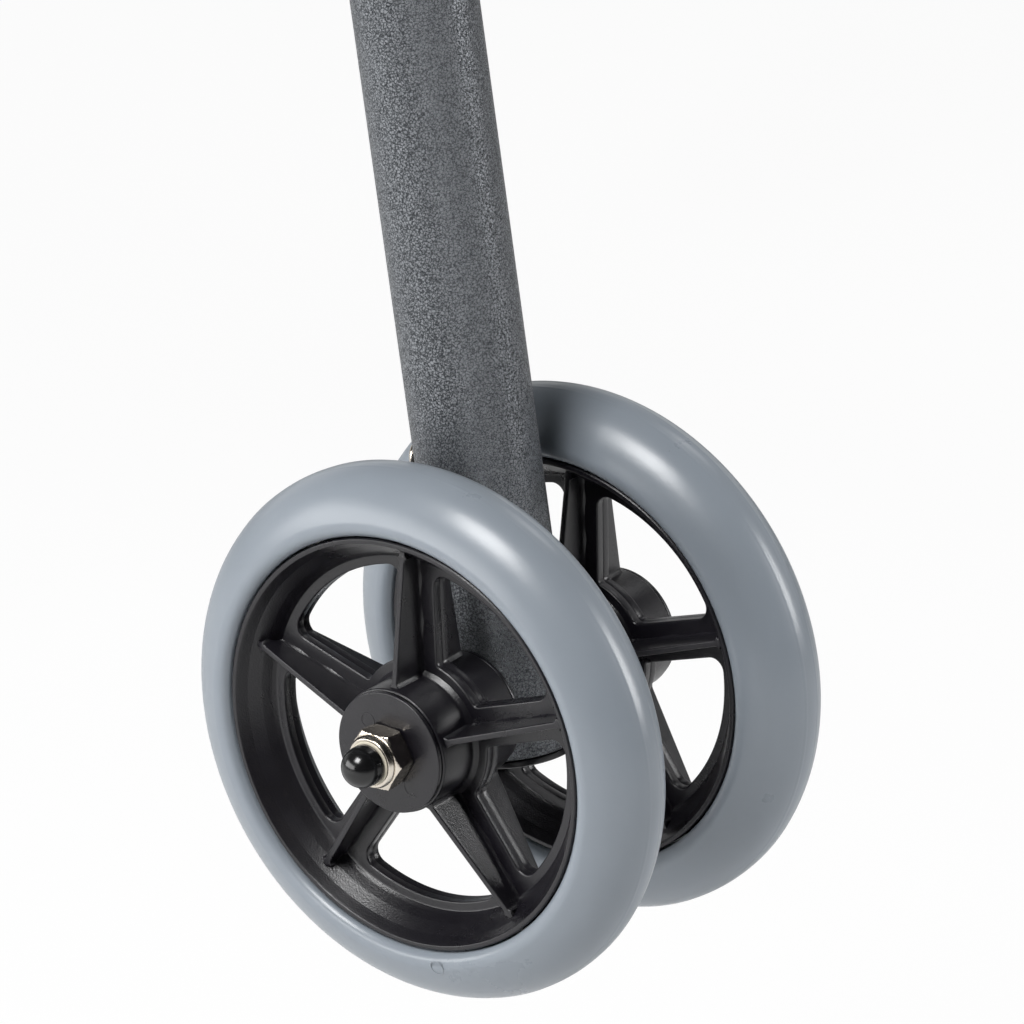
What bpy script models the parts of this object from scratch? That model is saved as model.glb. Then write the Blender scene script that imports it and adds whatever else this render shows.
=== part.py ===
"""Folding walker with a pair of small wheels on each front leg.

Metres, +Z up, +X to the walker's front, +Y to its left. The origin is on the floor under the middle
of the whole walker. Each leg is built in its own frame: local Z runs up the leg, local X points
forward out of it, and local Y stays the walker's Y.
"""

import math

import bmesh
import bpy
from mathutils import Euler, Matrix, Vector

MM = 0.001
GAP = 0.3 * MM

# driving sizes of the wheels
TYRE_RADIUS = 63.5 * MM
TYRE_INNER_RADIUS = 49.4 * MM
TYRE_HALF_WIDTH = 13.2 * MM
RIM_RADIUS = 48.9 * MM
RIM_HALF_WIDTH = 10.5 * MM
RIM_LIP_RADIUS = 47.9 * MM
DISH_RADIUS = 43.2 * MM
DISH_HALF_DEPTH = 7.6 * MM
DISH_FOOT_RADIUS = 42.6 * MM
CROWN_CENTRE = 44.5 * MM
CROWN_HALF_ANGLE = 68
CROWN_POINTS = 5
CROWN_SWELL = 1.06
WEB_HALF = 2.3 * MM
OPENING_OUTER = 40.1 * MM
OPENING_INNER = 18.0 * MM
SPOKES = 5
SPOKE_HALF_WIDTH = 4.7 * MM
FIN_THICKNESS = 2.0 * MM
FIN_START = 13.0 * MM
FIN_END = 45.2 * MM
FIN_START_HALF = 11.9 * MM
FIN_END_HALF = 7.8 * MM
HUB_RADIUS = 14.7 * MM
HUB_OUTER_END = 13.5 * MM
HUB_INNER_END = 13.75 * MM
WHEEL_OFFSET = 29.65 * MM
TYRE_STEPS = 36
RIM_STEPS = 24
FINE_STEPS = 20
SMALL_STEPS = 16
HOLE_STEPS = 8

# driving sizes of the axle
AXLE_RADIUS = 3.95 * MM
AXLE_HOLE = 4.25 * MM
DISC_RADIUS = 14.3 * MM
DISC_THICKNESS = 1.0 * MM
HUB_FACE = WHEEL_OFFSET + HUB_OUTER_END + GAP + DISC_THICKNESS
NUT_FLATS = 13.0 * MM
NUT_HEX_HEIGHT = 6.4 * MM
NUT_COLLAR_RADIUS = 5.7 * MM
NUT_HEIGHT = 8.0 * MM
BOLT_HEAD_HEIGHT = 5.3 * MM
CAP_RADIUS = 4.8 * MM
CAP_SKIRT = 2.6 * MM

# driving sizes of the frame
TRACK = 0.600
LEG_SPREAD = 0.450
LEG_LEAN = math.radians(9.4)
HANDLE_HEIGHT = 0.815
HANDLE_RUN = 0.270
BEND_RADIUS = 0.065
MAIN_RADIUS = 15.9 * MM
MAIN_WALL = 1.3 * MM
LEG_RADIUS = 14.3 * MM
LEG_WALL = 1.6 * MM
CROSS_RADIUS = 12.7 * MM
CROSS_WALL = 1.5 * MM
BRACE_RADIUS = 11.1 * MM
TIP_RADIUS = 21.0 * MM

# heights up a leg, from the axle in front and from the floor behind
LEG_BELOW_AXLE = 12.8 * MM
BLOCK_TOP = 66.0 * MM
RIVET_HEIGHT = 56.0 * MM
RIVET_RADIUS = 1.6 * MM
RIVET_HOLE = 1.9 * MM
RIVET_START = 7.0 * MM
SNAP_HOLE = 4.8 * MM
MAIN_START = 0.180
HOLE_PITCH = 25.4 * MM
HOLES = 7
FIRST_HOLE = MAIN_START + 25.0 * MM
LAST_HOLE = FIRST_HOLE + (HOLES - 1) * HOLE_PITCH
LEG_TOP = LAST_HOLE + 0.045
LOWER_BRACKET = 0.455
UPPER_BRACKET = 0.645
BRACE_HEIGHTS = {"lower": 0.450, "upper": 0.600}
REAR_LEG_START = 8.5 * MM
REAR_MAIN_START = MAIN_START + TYRE_RADIUS
REAR_FIRST_HOLE = FIRST_HOLE + TYRE_RADIUS
REAR_LEG_TOP = LEG_TOP + TYRE_RADIUS

# the folding bracket and its release
BRACKET_RADIUS = 20.0 * MM
BRACKET_HALF = 30.0 * MM
CROSS_FORWARD = 36.0 * MM
SOCKET_RADIUS = 16.0 * MM
SOCKET_REACH = 46.0 * MM
HOUSING_START = 47.5 * MM
HOUSING_LENGTH = 46.0 * MM
LOCK_FORWARD = 10.0 * MM
LOCK_HEIGHT = 39.0 * MM
LOCK_RADIUS = 4.5 * MM
COLLAR_RADIUS = 19.5 * MM
LUG_REACH = 29.5 * MM
LUG_START = 17.5 * MM
LUG_HALF_WIDTH = 5.0 * MM
# the bolt's tip stops just clear of the lug's sweep, so that the fold and the lock can each move alone
LOCK_CLEARANCE = 0.8 * MM
LOCK_TIP = LUG_REACH + LOCK_CLEARANCE
LOCK_IN_HOUSING = 16.0 * MM
LOCK_BORE_DEPTH = 28.0 * MM
BUTTON_FORWARD = 32.0 * MM
BUTTON_RADIUS = 9.0 * MM
BUTTON_FOOT = 30.0 * MM
BUTTON_TOP = 59.0 * MM

AXLE_X = (LEG_SPREAD + TIP_RADIUS - TYRE_RADIUS) / 2
FRONT_TOP_X = AXLE_X - math.tan(LEG_LEAN) * (HANDLE_HEIGHT - TYRE_RADIUS)
REAR_TOP_X = FRONT_TOP_X - HANDLE_RUN
REAR_FOOT_X = AXLE_X - LEG_SPREAD
REAR_LEAN = math.atan((REAR_TOP_X - REAR_FOOT_X) / HANDLE_HEIGHT)

SIDES = {"left": 1, "right": -1}
# the turn of each wheel's first spoke from straight up, towards the front
FIRST_SPOKE = {"outer": math.radians(-2.6), "inner": math.radians(-1.0)}

MATERIALS = {
    "grey_hammertone": ((0.23, 0.25, 0.27), 0.45, 0.35),
    "grey_tyre": ((0.33, 0.36, 0.40), 0.45, 0.0),
    "black_nylon": ((0.012, 0.012, 0.013), 0.5, 0.0),
    "black_gloss": ((0.01, 0.01, 0.01), 0.15, 0.0),
    "zinc": ((0.75, 0.72, 0.66), 0.25, 1.0),
    "black_grip": ((0.02, 0.02, 0.02), 0.75, 0.0),
    "grey_rubber": ((0.20, 0.21, 0.22), 0.7, 0.0),
    "red_button": ((0.50, 0.03, 0.02), 0.4, 0.0),
}


# ---------------------------------------------------------------- scene and materials


def clear_scene():
    for obj in list(bpy.data.objects):
        bpy.data.objects.remove(obj)


def new_collection(name):
    collection = bpy.data.collections.new(name)
    bpy.context.scene.collection.children.link(collection)
    return collection


def make_material(name):
    colour, roughness, metallic = MATERIALS[name]
    material = bpy.data.materials.new(name)
    material.use_nodes = True
    shader = material.node_tree.nodes["Principled BSDF"]
    shader.inputs["Base Color"].default_value = (*colour, 1.0)
    shader.inputs["Roughness"].default_value = roughness
    shader.inputs["Metallic"].default_value = metallic
    return material


clear_scene()
PARTS = new_collection("front_wheeled_walker")
CUTTERS = new_collection("cutters")
CUTTERS.hide_render = True
FINISH = {name: make_material(name) for name in MATERIALS}


def new_part(name, mesh, finish, parent=None, place=(0, 0, 0), turn=(0, 0, 0)):
    obj = bpy.data.objects.new(name, mesh)
    PARTS.objects.link(obj)
    obj.parent = parent
    obj.location = place
    obj.rotation_euler = turn
    mesh.materials.append(FINISH[finish])
    return obj


def new_frame(name, place, turn=(0, 0, 0)):
    """An empty that pieces are built around, such as a leg's axis."""
    empty = bpy.data.objects.new(name, None)
    PARTS.objects.link(empty)
    empty.location = place
    empty.rotation_euler = turn
    return empty


def matrix_of(obj):
    """The object's place in the world, worked out from its own and its parent's settings."""
    own = Matrix.LocRotScale(obj.location, obj.rotation_euler, obj.scale)
    return matrix_of(obj.parent) @ own if obj.parent else own


def new_cutter(mesh, like):
    """A cutter or a piece to join, standing where the piece that it works on stands."""
    cutter = bpy.data.objects.new("cutter", mesh)
    CUTTERS.objects.link(cutter)
    cutter.matrix_world = matrix_of(like)
    cutter.hide_render = True
    cutter.display_type = "WIRE"
    return cutter


def boolean(obj, mesh, operation="DIFFERENCE"):
    modifier = obj.modifiers.new(operation.lower(), "BOOLEAN")
    modifier.operation = operation
    modifier.object = new_cutter(mesh, obj)


# ---------------------------------------------------------------- shapes


def rod_mesh(radius, start, end, steps=FINE_STEPS, end_radius=None):
    """A closed cylinder or cone from one point to another."""
    start = Vector(start)
    along = Vector(end) - start
    turn = along.to_track_quat("Z", "Y").to_matrix().to_4x4() @ Matrix.Rotation(math.pi / steps, 4, "Z")
    built = bmesh.new()
    bmesh.ops.create_cone(
        built, cap_ends=True, segments=steps, radius1=radius,
        radius2=radius if end_radius is None else end_radius, depth=along.length,
        matrix=Matrix.Translation(start + along / 2) @ turn,
    )
    return finished(built, "rod")


def block_mesh(low, high):
    """A closed box between two corners, given in any order."""
    low, high = Vector(low), Vector(high)
    size = [abs(a) for a in high - low]
    built = bmesh.new()
    bmesh.ops.create_cube(built, size=1.0, matrix=Matrix.LocRotScale((low + high) / 2, None, size))
    return finished(built, "block")


def finished(built, name):
    mesh = bpy.data.meshes.new(name)
    built.to_mesh(mesh)
    built.free()
    mesh.shade_smooth()
    mesh.set_sharp_from_angle(angle=math.radians(35))
    return mesh


def turned(obj_name, profile, finish, parent, place=(0, 0, 0), turn=(0, 0, 0), steps=FINE_STEPS):
    """A piece turned about its local Z, from a profile of (radius, height) that runs down its outside."""
    mesh = bpy.data.meshes.new(obj_name)
    count = len(profile)
    edges = [(n, (n + 1) % count) for n in range(count)]
    if profile[0][0] == profile[-1][0] == 0.0:
        edges.pop()
    mesh.from_pydata([(r, 0, z) for r, z in profile], edges, [])
    obj = new_part(obj_name, mesh, finish, parent, place, turn)
    screw = obj.modifiers.new("screw", "SCREW")
    screw.axis = "Z"
    screw.steps = screw.render_steps = steps
    screw.use_merge_vertices = True
    screw.merge_threshold = 1e-5
    return obj


def tube(name, points, radius, wall, finish, parent=None, sides=16):
    """A hollow tube along points: a bevelled curve made a mesh, open at both ends, given its wall inwards."""
    curve = bpy.data.curves.new(name, "CURVE")
    curve.dimensions = "3D"
    curve.bevel_depth = radius
    curve.bevel_resolution = sides // 2 - 2
    line = curve.splines.new("POLY")
    line.points.add(len(points) - 1)
    for slot, point in zip(line.points, points):
        slot.co = (*point, 1.0)
    guide = bpy.data.objects.new(name + "_guide", curve)
    CUTTERS.objects.link(guide)
    graph = bpy.context.evaluated_depsgraph_get()
    mesh = bpy.data.meshes.new_from_object(guide.evaluated_get(graph))
    bpy.data.objects.remove(guide)
    obj = new_part(name, mesh, finish, parent)
    shell = obj.modifiers.new("wall", "SOLIDIFY")
    shell.thickness = wall
    shell.offset = -1.0
    shell.use_even_offset = True
    return obj


def rod(name, radius, start, end, finish, parent, steps=SMALL_STEPS):
    return new_part(name, rod_mesh(radius, start, end, steps), finish, parent)


# ---------------------------------------------------------------- wheels


def rim_profile():
    """(radius, height) round the rim and hub, down the outside, up through the bore."""
    return [
        (RIM_RADIUS, RIM_HALF_WIDTH),
        (RIM_RADIUS, -RIM_HALF_WIDTH),
        (RIM_LIP_RADIUS, -RIM_HALF_WIDTH),
        (DISH_RADIUS, -DISH_HALF_DEPTH),
        (DISH_FOOT_RADIUS, -WEB_HALF),
        (HUB_RADIUS, -WEB_HALF),
        (HUB_RADIUS, -HUB_INNER_END),
        (AXLE_HOLE, -HUB_INNER_END),
        (AXLE_HOLE, HUB_OUTER_END),
        (HUB_RADIUS, HUB_OUTER_END),
        (HUB_RADIUS, WEB_HALF),
        (DISH_FOOT_RADIUS, WEB_HALF),
        (DISH_RADIUS, DISH_HALF_DEPTH),
        (RIM_LIP_RADIUS, RIM_HALF_WIDTH),
    ]


def opening_mesh(spoke_angle):
    """The prism cut between two spokes: an arc outside, an arc near the hub, sides along the spokes."""
    wedge = 2 * math.pi / SPOKES

    def corner(radius, edge):
        """Angle at which a line beside a spoke's centre meets this radius."""
        half = math.asin(SPOKE_HALF_WIDTH / radius)
        return spoke_angle + (half if edge == 0 else wedge - half)

    outline = []
    for radius, order, points in ((OPENING_OUTER, (0, 1), 5), (OPENING_INNER, (1, 0), 2)):
        first, last = corner(radius, order[0]), corner(radius, order[1])
        for n in range(points):
            angle = first + (last - first) * n / (points - 1)
            outline.append((radius * math.cos(angle), radius * math.sin(angle)))
    built = bmesh.new()
    depth = 3 * WEB_HALF
    base = built.faces.new([built.verts.new((x, y, -depth)) for x, y in outline])
    top = bmesh.ops.extrude_face_region(built, geom=[base])["geom"]
    moved = [item for item in top if isinstance(item, bmesh.types.BMVert)]
    bmesh.ops.translate(built, verts=moved, vec=(0, 0, 2 * depth))
    bmesh.ops.recalc_face_normals(built, faces=built.faces)
    return finished(built, "opening")


def fin_mesh(angle):
    """A spoke's rib: a thin plate across both faces of the web, from the hub to the rim's dish."""
    built = bmesh.new()
    bmesh.ops.create_cube(built, size=1.0)
    for vert in built.verts:
        far = vert.co.x > 0
        half = FIN_END_HALF if far else FIN_START_HALF
        vert.co = Vector((
            FIN_END if far else FIN_START,
            FIN_THICKNESS * vert.co.y,
            math.copysign(half, vert.co.z),
        ))
    built.transform(Matrix.Rotation(angle, 4, "Z"))
    return finished(built, "fin")


def make_wheel(side, place_name, axle):
    """A rim, its tyre and its hub disc. Local Z is the axle, pointing away from the leg."""
    name = f"{side}_{place_name}"
    outward = SIDES[side] * (1 if place_name == "outer" else -1)
    place = (0, outward * WHEEL_OFFSET, 0)
    turn = (math.radians(-90 * outward), 0, 0)
    rim = turned(name + "_rim", rim_profile(), "black_nylon", axle, place, turn, RIM_STEPS)
    # local Y points down when the axle points to +Y, so straight up is at minus or plus a quarter turn
    up = math.radians(-90 * outward)
    first = up + outward * FIRST_SPOKE[place_name]
    for n in range(SPOKES):
        angle = first + n * 2 * math.pi / SPOKES
        boolean(rim, opening_mesh(angle))
    for n in range(SPOKES):
        boolean(rim, fin_mesh(first + n * 2 * math.pi / SPOKES), "UNION")
    tyre_profile = [(TYRE_INNER_RADIUS, RIM_HALF_WIDTH)]
    for n in range(CROWN_POINTS):
        across = math.radians(CROWN_HALF_ANGLE * (1 - 2 * n / (CROWN_POINTS - 1)))
        tyre_profile.append((
            CROWN_CENTRE + (TYRE_RADIUS - CROWN_CENTRE) * math.cos(across),
            TYRE_HALF_WIDTH * math.sin(across) * CROWN_SWELL,
        ))
    tyre_profile.append((TYRE_INNER_RADIUS, -RIM_HALF_WIDTH))
    turned(name + "_tyre", tyre_profile, "grey_tyre", axle, place, turn, TYRE_STEPS)
    start = HUB_OUTER_END + GAP
    turned(name + "_hub_disc", [
        (DISC_RADIUS, start + DISC_THICKNESS), (DISC_RADIUS, start),
        (AXLE_HOLE, start), (AXLE_HOLE, start + DISC_THICKNESS),
    ], "black_nylon", axle, place, turn)


# ---------------------------------------------------------------- axle hardware


def hexagon_mesh(start, end, outward):
    """A hexagonal prism along the axle, flats 13 mm apart."""
    return rod_mesh(
        NUT_FLATS / 2 / math.cos(math.radians(30)), (0, outward * start, 0), (0, outward * end, 0), 6
    )


def make_axle(side, leg):
    """The bolt, its nut and dust cap, and the washers between the leg and the hubs."""
    outward = SIDES[side]
    face = HUB_FACE + GAP
    bolt = new_part(
        side + "_axle_bolt", hexagon_mesh(face, face + BOLT_HEAD_HEIGHT, -outward), "zinc", leg
    )
    shank = rod_mesh(
        AXLE_RADIUS, (0, -outward * (face + 1 * MM), 0),
        (0, outward * (face + NUT_HEIGHT + 2 * MM), 0), SMALL_STEPS,
    )
    boolean(bolt, shank, "UNION")

    nut = new_part(
        side + "_lock_nut", hexagon_mesh(face, face + NUT_HEX_HEIGHT, outward), "zinc", leg
    )
    collar = rod_mesh(
        NUT_COLLAR_RADIUS, (0, outward * (face + 3 * MM), 0), (0, outward * (face + NUT_HEIGHT), 0)
    )
    boolean(nut, collar, "UNION")
    boolean(nut, rod_mesh(
        AXLE_HOLE, (0, outward * (face - 2 * MM), 0),
        (0, outward * (face + NUT_HEIGHT + 2 * MM), 0), SMALL_STEPS,
    ))

    base = face + NUT_HEIGHT + GAP
    dome = [
        (CAP_RADIUS * math.cos(math.radians(a)), CAP_SKIRT + CAP_RADIUS * math.sin(math.radians(a)))
        for a in (60, 30, 0)
    ]
    profile = [(0.0, CAP_SKIRT + CAP_RADIUS), *dome, (CAP_RADIUS, 0.0), (AXLE_HOLE, 0.0)]
    profile += [(AXLE_HOLE, CAP_SKIRT), (0.0, CAP_SKIRT)]
    mesh_turn = (math.radians(-90 * outward), 0, 0)
    place = (0, outward * base, 0)
    turned(side + "_dust_cap", profile, "black_gloss", leg, place, mesh_turn, SMALL_STEPS)

    for end, sign in (("outer", 1), ("inner", -1)):
        start = LEG_RADIUS + GAP
        turned(f"{side}_{end}_leg_washer", [
            (DISC_RADIUS, start + DISC_THICKNESS), (DISC_RADIUS, start),
            (AXLE_HOLE, start), (AXLE_HOLE, start + DISC_THICKNESS),
        ], "black_nylon", leg, (0, 0, 0), (math.radians(-90 * outward * sign), 0, 0))


# ---------------------------------------------------------------- legs


def make_snap_button(name, height, outward, leg):
    """The sprung pin that stands out of the leg through a hole of the main tube."""
    head, flange = 4.4 * MM, 6.0 * MM
    profile = [
        (0.0, 18.5 * MM), (3.2 * MM, 18.3 * MM), (head, 17.0 * MM), (head, 10.8 * MM),
        (flange, 10.8 * MM), (flange, 9.3 * MM), (0.0, 9.3 * MM),
    ]
    turned(
        name, profile, "zinc", leg, (0, 0, height), (math.radians(-90 * outward), 0, 0),
        SMALL_STEPS,
    )


def button_hole(height, outward, length=30 * MM):
    return rod_mesh(SNAP_HOLE, (0, outward * 5 * MM, height), (0, outward * length, height), HOLE_STEPS)


def make_front_leg(side, leg):
    """The hammertone tube that carries the axle, with its plug and rivet."""
    outward = SIDES[side]
    lower = tube(
        side + "_front_leg_tube", [(0, 0, -LEG_BELOW_AXLE), (0, 0, LEG_TOP)],
        LEG_RADIUS, LEG_WALL, "grey_hammertone", leg,
    )
    axle_hole = rod_mesh(AXLE_HOLE, (0, -30 * MM, 0), (0, 30 * MM, 0), SMALL_STEPS)
    boolean(lower, axle_hole)
    boolean(lower, button_hole(LAST_HOLE, outward))
    rivet_way = Vector((-1.0, 0.45 * outward, 0)).normalized()
    rivet_foot = Vector((0, 0, RIVET_HEIGHT))
    rivet_hole = rod_mesh(
        RIVET_HOLE, rivet_foot + rivet_way * (RIVET_START - 1 * MM), rivet_foot + rivet_way * 20 * MM,
        HOLE_STEPS,
    )
    boolean(lower, rivet_hole)

    inside = LEG_RADIUS - LEG_WALL - GAP
    flange = LEG_RADIUS - 0.2 * MM
    block = turned(side + "_axle_block", [
        (0.0, BLOCK_TOP), (inside, BLOCK_TOP), (inside, -LEG_BELOW_AXLE - GAP),
        (flange, -LEG_BELOW_AXLE - GAP), (flange, -LEG_BELOW_AXLE - 1.8 * MM),
        (0.0, -LEG_BELOW_AXLE - 1.8 * MM),
    ], "black_nylon", leg, steps=SMALL_STEPS)
    boolean(block, axle_hole)
    boolean(block, rivet_hole)

    rivet = rod(
        side + "_axle_rivet", RIVET_RADIUS, rivet_foot + rivet_way * RIVET_START,
        rivet_foot + rivet_way * (LEG_RADIUS + 0.9 * MM), "zinc", leg, HOLE_STEPS,
    )
    boolean(rivet, rod_mesh(
        3.0 * MM, rivet_foot + rivet_way * (LEG_RADIUS + 0.35 * MM),
        rivet_foot + rivet_way * (LEG_RADIUS + 1.4 * MM), SMALL_STEPS, end_radius=1.8 * MM,
    ), "UNION")
    make_snap_button(side + "_front_snap_button", LAST_HOLE, outward, leg)
    make_axle(side, leg)


def make_rear_leg(side, leg):
    """The rear leg's lower tube and its rubber tip, which stands flat on the floor."""
    outward = SIDES[side]
    lower = tube(
        side + "_rear_leg_tube", [(0, 0, REAR_LEG_START), (0, 0, REAR_LEG_TOP)],
        LEG_RADIUS, LEG_WALL, "grey_hammertone", leg,
    )
    boolean(lower, button_hole(LAST_HOLE + TYRE_RADIUS, outward))
    make_snap_button(side + "_rear_snap_button", LAST_HOLE + TYRE_RADIUS, outward, leg)

    foot = (REAR_FOOT_X, outward * TRACK / 2, 0)
    upright = new_frame(side + "_rear_tip_frame", foot)
    tip = turned(side + "_rear_tip", [
        (0.0, 46 * MM), (17.6 * MM, 46 * MM), (18.2 * MM, 44 * MM), (18.2 * MM, 16 * MM),
        (TIP_RADIUS, 8 * MM), (TIP_RADIUS, 0.0), (0.0, 0.0),
    ], "grey_rubber", upright)
    bottom, top = Vector((0, 0, REAR_LEG_START - 0.5 * MM)), Vector((0, 0, 60 * MM))
    lean = Matrix.Rotation(REAR_LEAN, 4, "Y")
    boolean(tip, rod_mesh(LEG_RADIUS + GAP, lean @ bottom, lean @ top))


def bend_points(corner, way_in, way_out, radius, steps=6):
    """Points round a bend: the arc of this radius that touches both straight runs."""
    turn = way_in.angle(way_out)
    reach = radius * math.tan(turn / 2)
    axis = way_in.cross(way_out).normalized()
    start = corner - way_in * reach
    centre = start + axis.cross(way_in) * radius
    return [
        centre + Matrix.Rotation(turn * n / steps, 3, axis) @ (start - centre) for n in range(steps + 1)
    ]


def frame_plane_points(y):
    """The inverted U of a side frame: up the front leg, along the handle, down the rear leg."""
    axle = Vector((AXLE_X, y, TYRE_RADIUS))
    front_up = Vector((-math.sin(LEG_LEAN), 0, math.cos(LEG_LEAN)))
    rear_up = Vector((math.sin(REAR_LEAN), 0, math.cos(REAR_LEAN)))
    back = Vector((-1, 0, 0))
    foot = Vector((REAR_FOOT_X, y, 0))
    front_corner = Vector((FRONT_TOP_X, y, HANDLE_HEIGHT))
    rear_corner = Vector((REAR_TOP_X, y, HANDLE_HEIGHT))
    points = [axle + front_up * MAIN_START]
    points += bend_points(front_corner, front_up, back, BEND_RADIUS)
    points += bend_points(rear_corner, back, -rear_up, BEND_RADIUS)
    points.append(foot + rear_up * REAR_MAIN_START)
    return points


def leg_point_x(height, front):
    if front:
        return AXLE_X - math.tan(LEG_LEAN) * (height - TYRE_RADIUS)
    return REAR_FOOT_X + math.tan(REAR_LEAN) * height


def in_world(mesh, frame):
    """The mesh moved from a leg's frame into the world's."""
    mesh.transform(matrix_of(frame))
    return mesh


def make_side_frame(side, front_leg, rear_leg):
    """The bent main tube, its two braces, the hand grip and the catch that the lock holds."""
    outward = SIDES[side]
    y = outward * TRACK / 2
    main = tube(side + "_side_tube", frame_plane_points(y), MAIN_RADIUS, MAIN_WALL, "grey_hammertone")
    for n in range(HOLES):
        boolean(main, in_world(button_hole(FIRST_HOLE + n * HOLE_PITCH, outward, 25 * MM), front_leg))
        boolean(main, in_world(button_hole(REAR_FIRST_HOLE + n * HOLE_PITCH, outward, 25 * MM), rear_leg))

    saddle = MAIN_RADIUS + GAP
    for level, height in BRACE_HEIGHTS.items():
        brace = tube(
            f"{side}_{level}_side_brace",
            [(leg_point_x(height, True), y, height), (leg_point_x(height, False), y, height)],
            BRACE_RADIUS, CROSS_WALL, "grey_hammertone", sides=16,
        )
        boolean(brace, in_world(rod_mesh(saddle, (0, 0, 0.2), (0, 0, 0.75)), front_leg))
        boolean(brace, in_world(rod_mesh(saddle, (0, 0, 0.2), (0, 0, 0.75)), rear_leg))

    reach_front = BEND_RADIUS * math.tan((math.pi / 2 - LEG_LEAN) / 2)
    reach_rear = BEND_RADIUS * math.tan((math.pi / 2 - REAR_LEAN) / 2)
    grip_front = FRONT_TOP_X - reach_front - 3 * MM
    grip_rear = REAR_TOP_X + reach_rear + 3 * MM
    length = grip_front - grip_rear
    bore, body, flange = MAIN_RADIUS + GAP, 19.0 * MM, 21.0 * MM
    turned(side + "_hand_grip", [
        (bore, length), (flange, length), (flange, length - 4 * MM), (body, length - 6 * MM),
        (body, 6 * MM), (flange, 4 * MM), (flange, 0.0), (bore, 0.0),
    ], "black_grip", None, (grip_rear, y, HANDLE_HEIGHT), (0, math.radians(90), 0))

    low, high = UPPER_BRACKET + BRACKET_HALF + 1.5 * MM, UPPER_BRACKET + LOCK_HEIGHT + 7.5 * MM
    collar = turned(side + "_catch_collar", [
        (COLLAR_RADIUS, high), (COLLAR_RADIUS, low), (MAIN_RADIUS + GAP, low), (MAIN_RADIUS + GAP, high),
    ], "zinc", front_leg)
    boolean(collar, block_mesh(
        (-LUG_HALF_WIDTH, -outward * LUG_START, low + 1 * MM),
        (LUG_HALF_WIDTH, -outward * LUG_REACH, high - 1 * MM),
    ), "UNION")


# ---------------------------------------------------------------- front brace


def make_bracket(side, level, height, leg):
    """The sleeve that a front leg turns in, with the socket that takes a cross tube."""
    outward = SIDES[side]
    axis = Vector((CROSS_FORWARD, 0, height))
    inward = Vector((0, -outward, 0))
    bracket = new_part(
        f"{side}_{level}_fold_bracket",
        rod_mesh(BRACKET_RADIUS, (0, 0, height - BRACKET_HALF), (0, 0, height + BRACKET_HALF)),
        "black_nylon", leg,
    )
    boolean(bracket, block_mesh(
        (0, -14 * MM, height - 14.2 * MM), (CROSS_FORWARD, 14 * MM, height + 14.2 * MM)
    ), "UNION")
    boolean(bracket, rod_mesh(
        SOCKET_RADIUS, axis - inward * 14.6 * MM, axis + inward * SOCKET_REACH
    ), "UNION")
    boolean(bracket, rod_mesh(
        MAIN_RADIUS + GAP, (0, 0, height - 40 * MM), (0, 0, height + 40 * MM)
    ))
    boolean(bracket, rod_mesh(
        CROSS_RADIUS + GAP, axis + inward * 10 * MM, axis + inward * (SOCKET_REACH + 5 * MM)
    ))


def make_release(side, leg):
    """The housing on the upper cross tube, its thumb button, and the bolt that stands behind the catch."""
    outward = SIDES[side]
    base = UPPER_BRACKET

    def at(forward, inward, up):
        return (forward, -outward * inward, base + up)

    housing_end = HOUSING_START + HOUSING_LENGTH
    housing = new_part(side + "_release_housing", block_mesh(
        at(3 * MM, HOUSING_START, -2 * MM), at(56 * MM, housing_end, 48 * MM)
    ), "black_nylon", leg)
    edges = housing.modifiers.new("edges", "BEVEL")
    edges.width = 3 * MM
    edges.segments = 2
    middle = HOUSING_START + HOUSING_LENGTH / 2
    boolean(housing, rod_mesh(
        CROSS_RADIUS + GAP, at(CROSS_FORWARD, HOUSING_START - 5 * MM, 0),
        at(CROSS_FORWARD, housing_end + 5 * MM, 0),
    ))
    boolean(housing, rod_mesh(
        LOCK_RADIUS + GAP, at(LOCK_FORWARD, HOUSING_START - 5 * MM, LOCK_HEIGHT),
        at(LOCK_FORWARD, HOUSING_START + LOCK_BORE_DEPTH, LOCK_HEIGHT), SMALL_STEPS,
    ))
    boolean(housing, rod_mesh(
        BUTTON_RADIUS + GAP, at(BUTTON_FORWARD, middle, 19 * MM), at(BUTTON_FORWARD, middle, 55 * MM)
    ))
    turned(side + "_release_button", [
        (0.0, BUTTON_TOP), (6.5 * MM, BUTTON_TOP - 0.5 * MM), (BUTTON_RADIUS, BUTTON_TOP - 2.5 * MM),
        (BUTTON_RADIUS, BUTTON_FOOT), (0.0, BUTTON_FOOT),
    ], "red_button", leg, at(BUTTON_FORWARD, middle, 0))
    rod(
        side + "_lock_bolt", LOCK_RADIUS, at(LOCK_FORWARD, LOCK_TIP, LOCK_HEIGHT),
        at(LOCK_FORWARD, HOUSING_START + LOCK_IN_HOUSING, LOCK_HEIGHT), "zinc", leg,
    )


def make_cross_tube(level, height):
    """A straight tube between the sockets of the left and right brackets."""
    forward = Euler((0, -LEG_LEAN, 0)).to_matrix() @ Vector((CROSS_FORWARD, 0, height))
    x, z = AXLE_X + forward.x, TYRE_RADIUS + forward.z
    end = TRACK / 2 - 12 * MM
    tube(level + "_cross_tube", [(x, -end, z), (x, end, z)], CROSS_RADIUS, CROSS_WALL, "grey_hammertone")


# ---------------------------------------------------------------- the walker

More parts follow.
